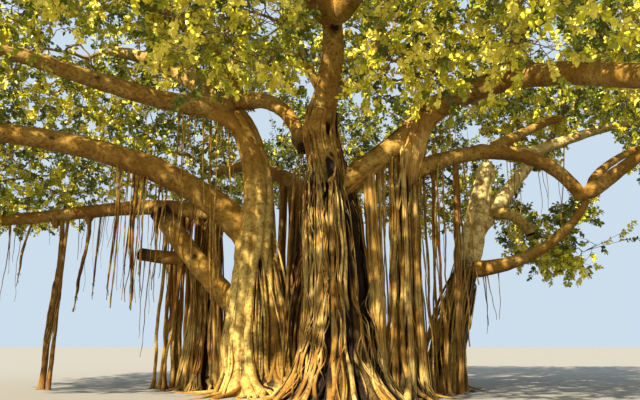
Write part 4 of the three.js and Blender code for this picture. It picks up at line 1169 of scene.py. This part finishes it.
def spread_targets(rng, mass, limb_points, shown):
    """Seeded places in a mass's space for its sprays, most of them in its shell and none near a limb. A
    mass reaches a little farther where it would otherwise leave a hole between itself and a neighbour."""
    centre, half = np.array(mass[3]), np.array(mass[4])
    others = [(np.array(other[3]), np.array(other[4])) for other in MASSES if other is not mass]
    normals, limits = mass_walls(centre, half, others)
    count = int(np.cbrt(np.prod(half)) ** 2 / SPRAY_SPACING)
    inner = half - np.array([SPRAY_REACH, SPRAY_REACH, 0.12])
    offset = rng.uniform(-SEAM, SEAM, (count * TRIES_PER_SPRAY, 3)) * inner
    place = centre + offset
    out = distance_out(place, centre, inner)
    beside = np.min([distance_out(place, *other) for other in others], axis=0) < SEAM
    good = (out < 1) | (out < SEAM) & beside
    good &= (out > SHELL) | (rng.random(len(out)) < 0.3) & (out > CORE)
    good &= (offset @ normals.T < limits - SPRAY_MARGIN).all(1)
    good &= ((place > solid_low + SPRAY_REACH) & (place < solid_high - SPRAY_REACH)).all(1)
    pool = place[good]
    pool = pool[leaves_view(rng, pool, shown)]
    near = limb_points[(np.abs(limb_points - centre) < half + LIMB_CLEARANCE).all(1)]
    if len(near):
        gap = np.linalg.norm(pool[:, None].astype("f4") - near[None].astype("f4"), axis=-1).min(1)
        pool = pool[gap > LIMB_CLEARANCE]
    return scattered(rng, pool, count)


def grow_twigs(start, way, targets, radius, twigs, ends):
    """A stem forks towards the halves of its targets, parted across their longest spread, until few are
    left, and then runs to their middle."""
    middle = targets.mean(0)
    if len(targets) <= SPRAYS_PER_TWIG:
        end = start + (middle - start) * TWIG_REACH
        twigs.append((start, way, end, radius, TWIG_TIP))
        ends.append((start, way, end, targets))
        return
    bend = unit(0.75 * unit(middle - start) + 0.25 * way)
    fork = start + bend * np.linalg.norm(middle - start) * FORK_REACH
    thinner = max(radius * 0.74, THINNEST_TWIG)
    twigs.append((start, way, fork, radius, thinner))
    axis = np.ptp(targets, axis=0).argmax()
    ordered = targets[targets[:, axis].argsort()]
    cut = (len(ordered) + 1) // 2
    for half in (ordered[:cut], ordered[cut:]):
        grow_twigs(fork, bend, half, thinner, twigs, ends)


def bent(start, way, end, u):
    """(1 - u) squared start + 2 u (1 - u) bend + u squared end, which leaves the start along its way."""
    bend = start + way * 0.4 * np.linalg.norm(end - start, axis=-1, keepdims=True)
    return (1 - u) ** 2 * start + 2 * u * (1 - u) * bend + u ** 2 * end


def bent_lines(start, way, end, samples):
    """A line for each row of starts, ways and ends, bent like that."""
    return bent(start[:, None], way[:, None], end[:, None], np.linspace(0, 1, samples)[:, None])


def branchlet_lines(ends):
    """From each last twig a branchlet runs to each of its targets."""
    *twigs, targets = zip(*ends)
    spans = [len(group) for group in targets]
    begin, leave, stop = (np.repeat(np.array(column), spans, axis=0) for column in twigs)
    target = np.concatenate(targets)
    share = np.concatenate([0.25 + 0.7 * (np.arange(n) + 1) / n for n in spans])[:, None]
    origin = bent(begin, leave, stop, share)
    return bent_lines(origin, unit(0.5 * unit(stop - begin) + unit(target - origin)), target, 3)


def grow_leaves(rng, base, tip, ahead, outward):
    """Leaves round shoots, folded up along the midrib. Each point of a leaf is
    root + length (x way + y width across + z fold face)."""
    count = len(base)
    total = count * LEAVES
    place = (np.arange(LEAVES) + rng.uniform(0.2, 0.8, (count, LEAVES))) / LEAVES
    angle = LEAF_TURN * np.arange(LEAVES) + rng.uniform(0, 6.28, (count, 1))
    angle = angle + rng.normal(0, 0.3, (count, LEAVES))
    side, other = (sides[:, :1] for sides in frames(np.stack([base, tip], 1)))
    round_it = np.cos(angle)[..., None] * side + np.sin(angle)[..., None] * other
    root = (base[:, None] + (tip - base)[:, None] * place[..., None]).reshape(-1, 3)
    droop = rng.normal(-0.35, 0.25, (total, 1)) * UP
    way = unit((0.6 * ahead[:, None] + 0.85 * round_it).reshape(-1, 3) + droop)
    face = unit(0.4 * UP + 0.45 * rng.normal(size=(total, 3)) + 0.45 * np.repeat(outward, LEAVES, axis=0))
    face = unit(face - way * (face * way).sum(-1, keepdims=True))
    across = np.cross(face, way)
    sizes = (LEAF_LENGTH, LEAF_WIDTH, LEAF_FOLD)
    length, width, fold = (rng.uniform(low, high, (total, 1, 1)) for low, high in sizes)
    x, y, z = (np.array(column)[:, None] for column in zip(*LEAF_OUTLINE))
    along, aside, lifted = x * way[:, None], y * across[:, None] * width, z * face[:, None] * fold
    return root[:, None] + length * (along + aside + lifted)


def mass_parts(mass, index, limbs, limb_points, shown):
    """The twigs and the leaf sprays of a mass, by the rule of its solid carried on to finer twigs. Each
    shoot's leaves take one tint, partly at random and partly as painted light: deeper towards the top of
    their mass and the top and rim of the crown, and brighter low and inside, where leaves seen from below are
    painted as if lit through."""
    rng = np.random.default_rng(SEED * 31 + index)
    limb, centre, half, *shoot = mass[2:]
    limb = limbs[limb]
    root, way = limb.line[-1], unit(limb.line[-1] - limb.line[-2])
    if shoot:
        root, way = limb.centre(np.array(shoot[0])), direction(shoot[1], 0)
    twigs, ends = [], []
    thick = min(THICKEST_TWIG, limb.radii[1] * 0.8)
    grow_twigs(root, way, spread_targets(rng, mass, limb_points, shown), thick, twigs, ends)
    start, way, end, thick, thin = (np.array(column) for column in zip(*twigs))
    lines = bent_lines(start, way, end, 5)
    lines[:, 1:-1] += rng.normal(0, 0.03, lines[:, 1:-1].shape)
    wood = [tubes(lines, thick[:, None] + (thin - thick)[:, None] * np.linspace(0, 1, 5), 3)]
    lines = branchlet_lines(ends)
    wood.append(tubes(lines, np.linspace(*BRANCHLET_RADII, 3), 3))

    # Shoots leave each branchlet before its middle, near its end and at it, and leaves stand round them.
    heading = np.repeat(unit(lines[:, -1] - lines[:, -2]), SHOOTS, axis=0)
    base = (lines[:, [0, 1, 2]] * 0.3 + lines[:, [1, 2, 2]] * 0.7).reshape(-1, 3)
    outward = unit(base - np.array(centre))
    stray = unit(rng.normal(size=base.shape))
    ahead = unit(0.55 * heading + 0.4 * outward + 0.75 * stray + 0.1 * UP)
    tip = base + ahead * rng.uniform(*SHOOT_LENGTH, (len(base), 1))
    wood.append(tubes(np.stack([base, tip], 1), SHOOT_RADII, 3))
    points = grow_leaves(rng, base, tip, ahead, outward)

    target = lines[:, -1]
    height = (target[:, 2] - centre[2]) / half[2]
    # Painted light: brighter tints low in a mass and inside the crown, for light shining through leaves seen
    # from below; the rest is random.
    bright = 0.48 - 0.18 * height - 0.2 * smooth(target[:, 2], 11.5, 15.5) + rng.normal(0, 0.22, len(target))
    bright -= 0.16 * smooth(np.linalg.norm(target[:, :2], axis=1), 6.0, 15.0)
    bright = np.repeat(bright, SHOOTS) + rng.normal(0, 0.18, len(base))
    tint = np.repeat(np.digitize(bright, TINT_STEPS), LEAVES)
    inside = ((points > solid_low - 0.3) & (points < solid_high + 0.3)).all((1, 2))
    leaves = []
    for paint in range(len(LEAF_PAINTS)):
        chosen = points[(tint == paint) & inside]
        if len(chosen):
            faces = (np.arange(len(chosen))[:, None, None] * len(LEAF_OUTLINE) + LEAF_HALVES).reshape(-1, 4)
            leaves.append(Part(chosen, [faces], None, None, paint))
    return wood, leaves


def make_tree():
    """Every trunk, limb and root group as a piece of its own, and the crown in parts."""
    trunks, limbs = {}, {}
    for index, row in enumerate(TRUNKS):
        trunk = trunks[row[0]] = Trunk(row)
        paint = BARK_PAINTS[TRUNK_PAINTS.get(trunk.name, "trunk bark")]
        build(trunk.name + "_bark", trunk_parts(trunk, index), [paint], [trunk.name])
    for index, row in enumerate(LIMBS):
        limb = limbs[row[0]] = Limb(row, limbs)
        paint = BARK_PAINTS["bough bark"]
        build(limb.name + "_bark", limb_parts(limb, index, trunks), [paint], [limb.name])
    for row in ROOTS:
        build(row[0] + "_bark", root_parts(row, limbs), [BARK_PAINTS["root bark"]], [row[0]])
    limb_points = np.concatenate([limb.line[:-12:5] for limb in limbs.values()])
    shown = [(limbs[name].centre(np.linspace(first, last, 30)), clearance, share)
             for name, first, last, clearance, share in SHOWN]
    grown = {}
    for index, mass in enumerate(MASSES):
        grown[mass[0]] = mass_parts(mass, index, limbs, limb_points, shown)
    for part in CROWN_PARTS:
        names = [mass[0] for mass in MASSES if mass[1] == part]
        wood, leaves = (sum((grown[name][kind] for name in names), []) for kind in (0, 1))
        build(f"crown_{part}_twigs", wood, [TWIG_PAINT], names)
        build(f"crown_{part}_leaves", leaves, LEAF_PAINTS, names)


def make_surroundings():
    """A wide pale floor, a low warm sun from the front left, and the pale light of a clear sky."""
    bpy.ops.mesh.primitive_plane_add(size=FLOOR_WIDTH, location=(0, 0, -0.002))
    floor = bpy.context.object
    floor.name = "floor"
    floor.data.materials.append(Paint("pale floor", Base_Color=FLOOR_COLOUR, Roughness=0.95).material)
    floor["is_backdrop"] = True
    light = bpy.data.lights.new("sun", "SUN")
    light.energy = SUN_STRENGTH
    light.angle = radians(0.8)
    light.color = SUN_COLOUR
    add_object("sun", light).rotation_euler = (radians(90 - SUN_CLIMB), 0, radians(SUN_TURN))
    world = bpy.data.worlds.new("sky")
    world.use_nodes = True
    sky = world.node_tree.nodes["Background"]
    sky.inputs["Color"].default_value = SKY_COLOUR
    sky.inputs["Strength"].default_value = SKY_STRENGTH
    bpy.context.scene.world = world
    bpy.context.scene.view_settings.view_transform = "Standard"


def make_camera():
    """The eye of a viewer who stands in front of the tree and looks up a little."""
    lens = bpy.data.cameras.new("camera")
    lens.lens = LENS
    lens.sensor_width = SENSOR_WIDTH
    lens.clip_end = 500.0
    camera = add_object("camera", lens)
    camera.location = EYE
    camera.rotation_euler = (radians(90 + EYE_CLIMB), 0, 0)
    bpy.context.scene.camera = camera


make_tree()
make_surroundings()
make_camera()
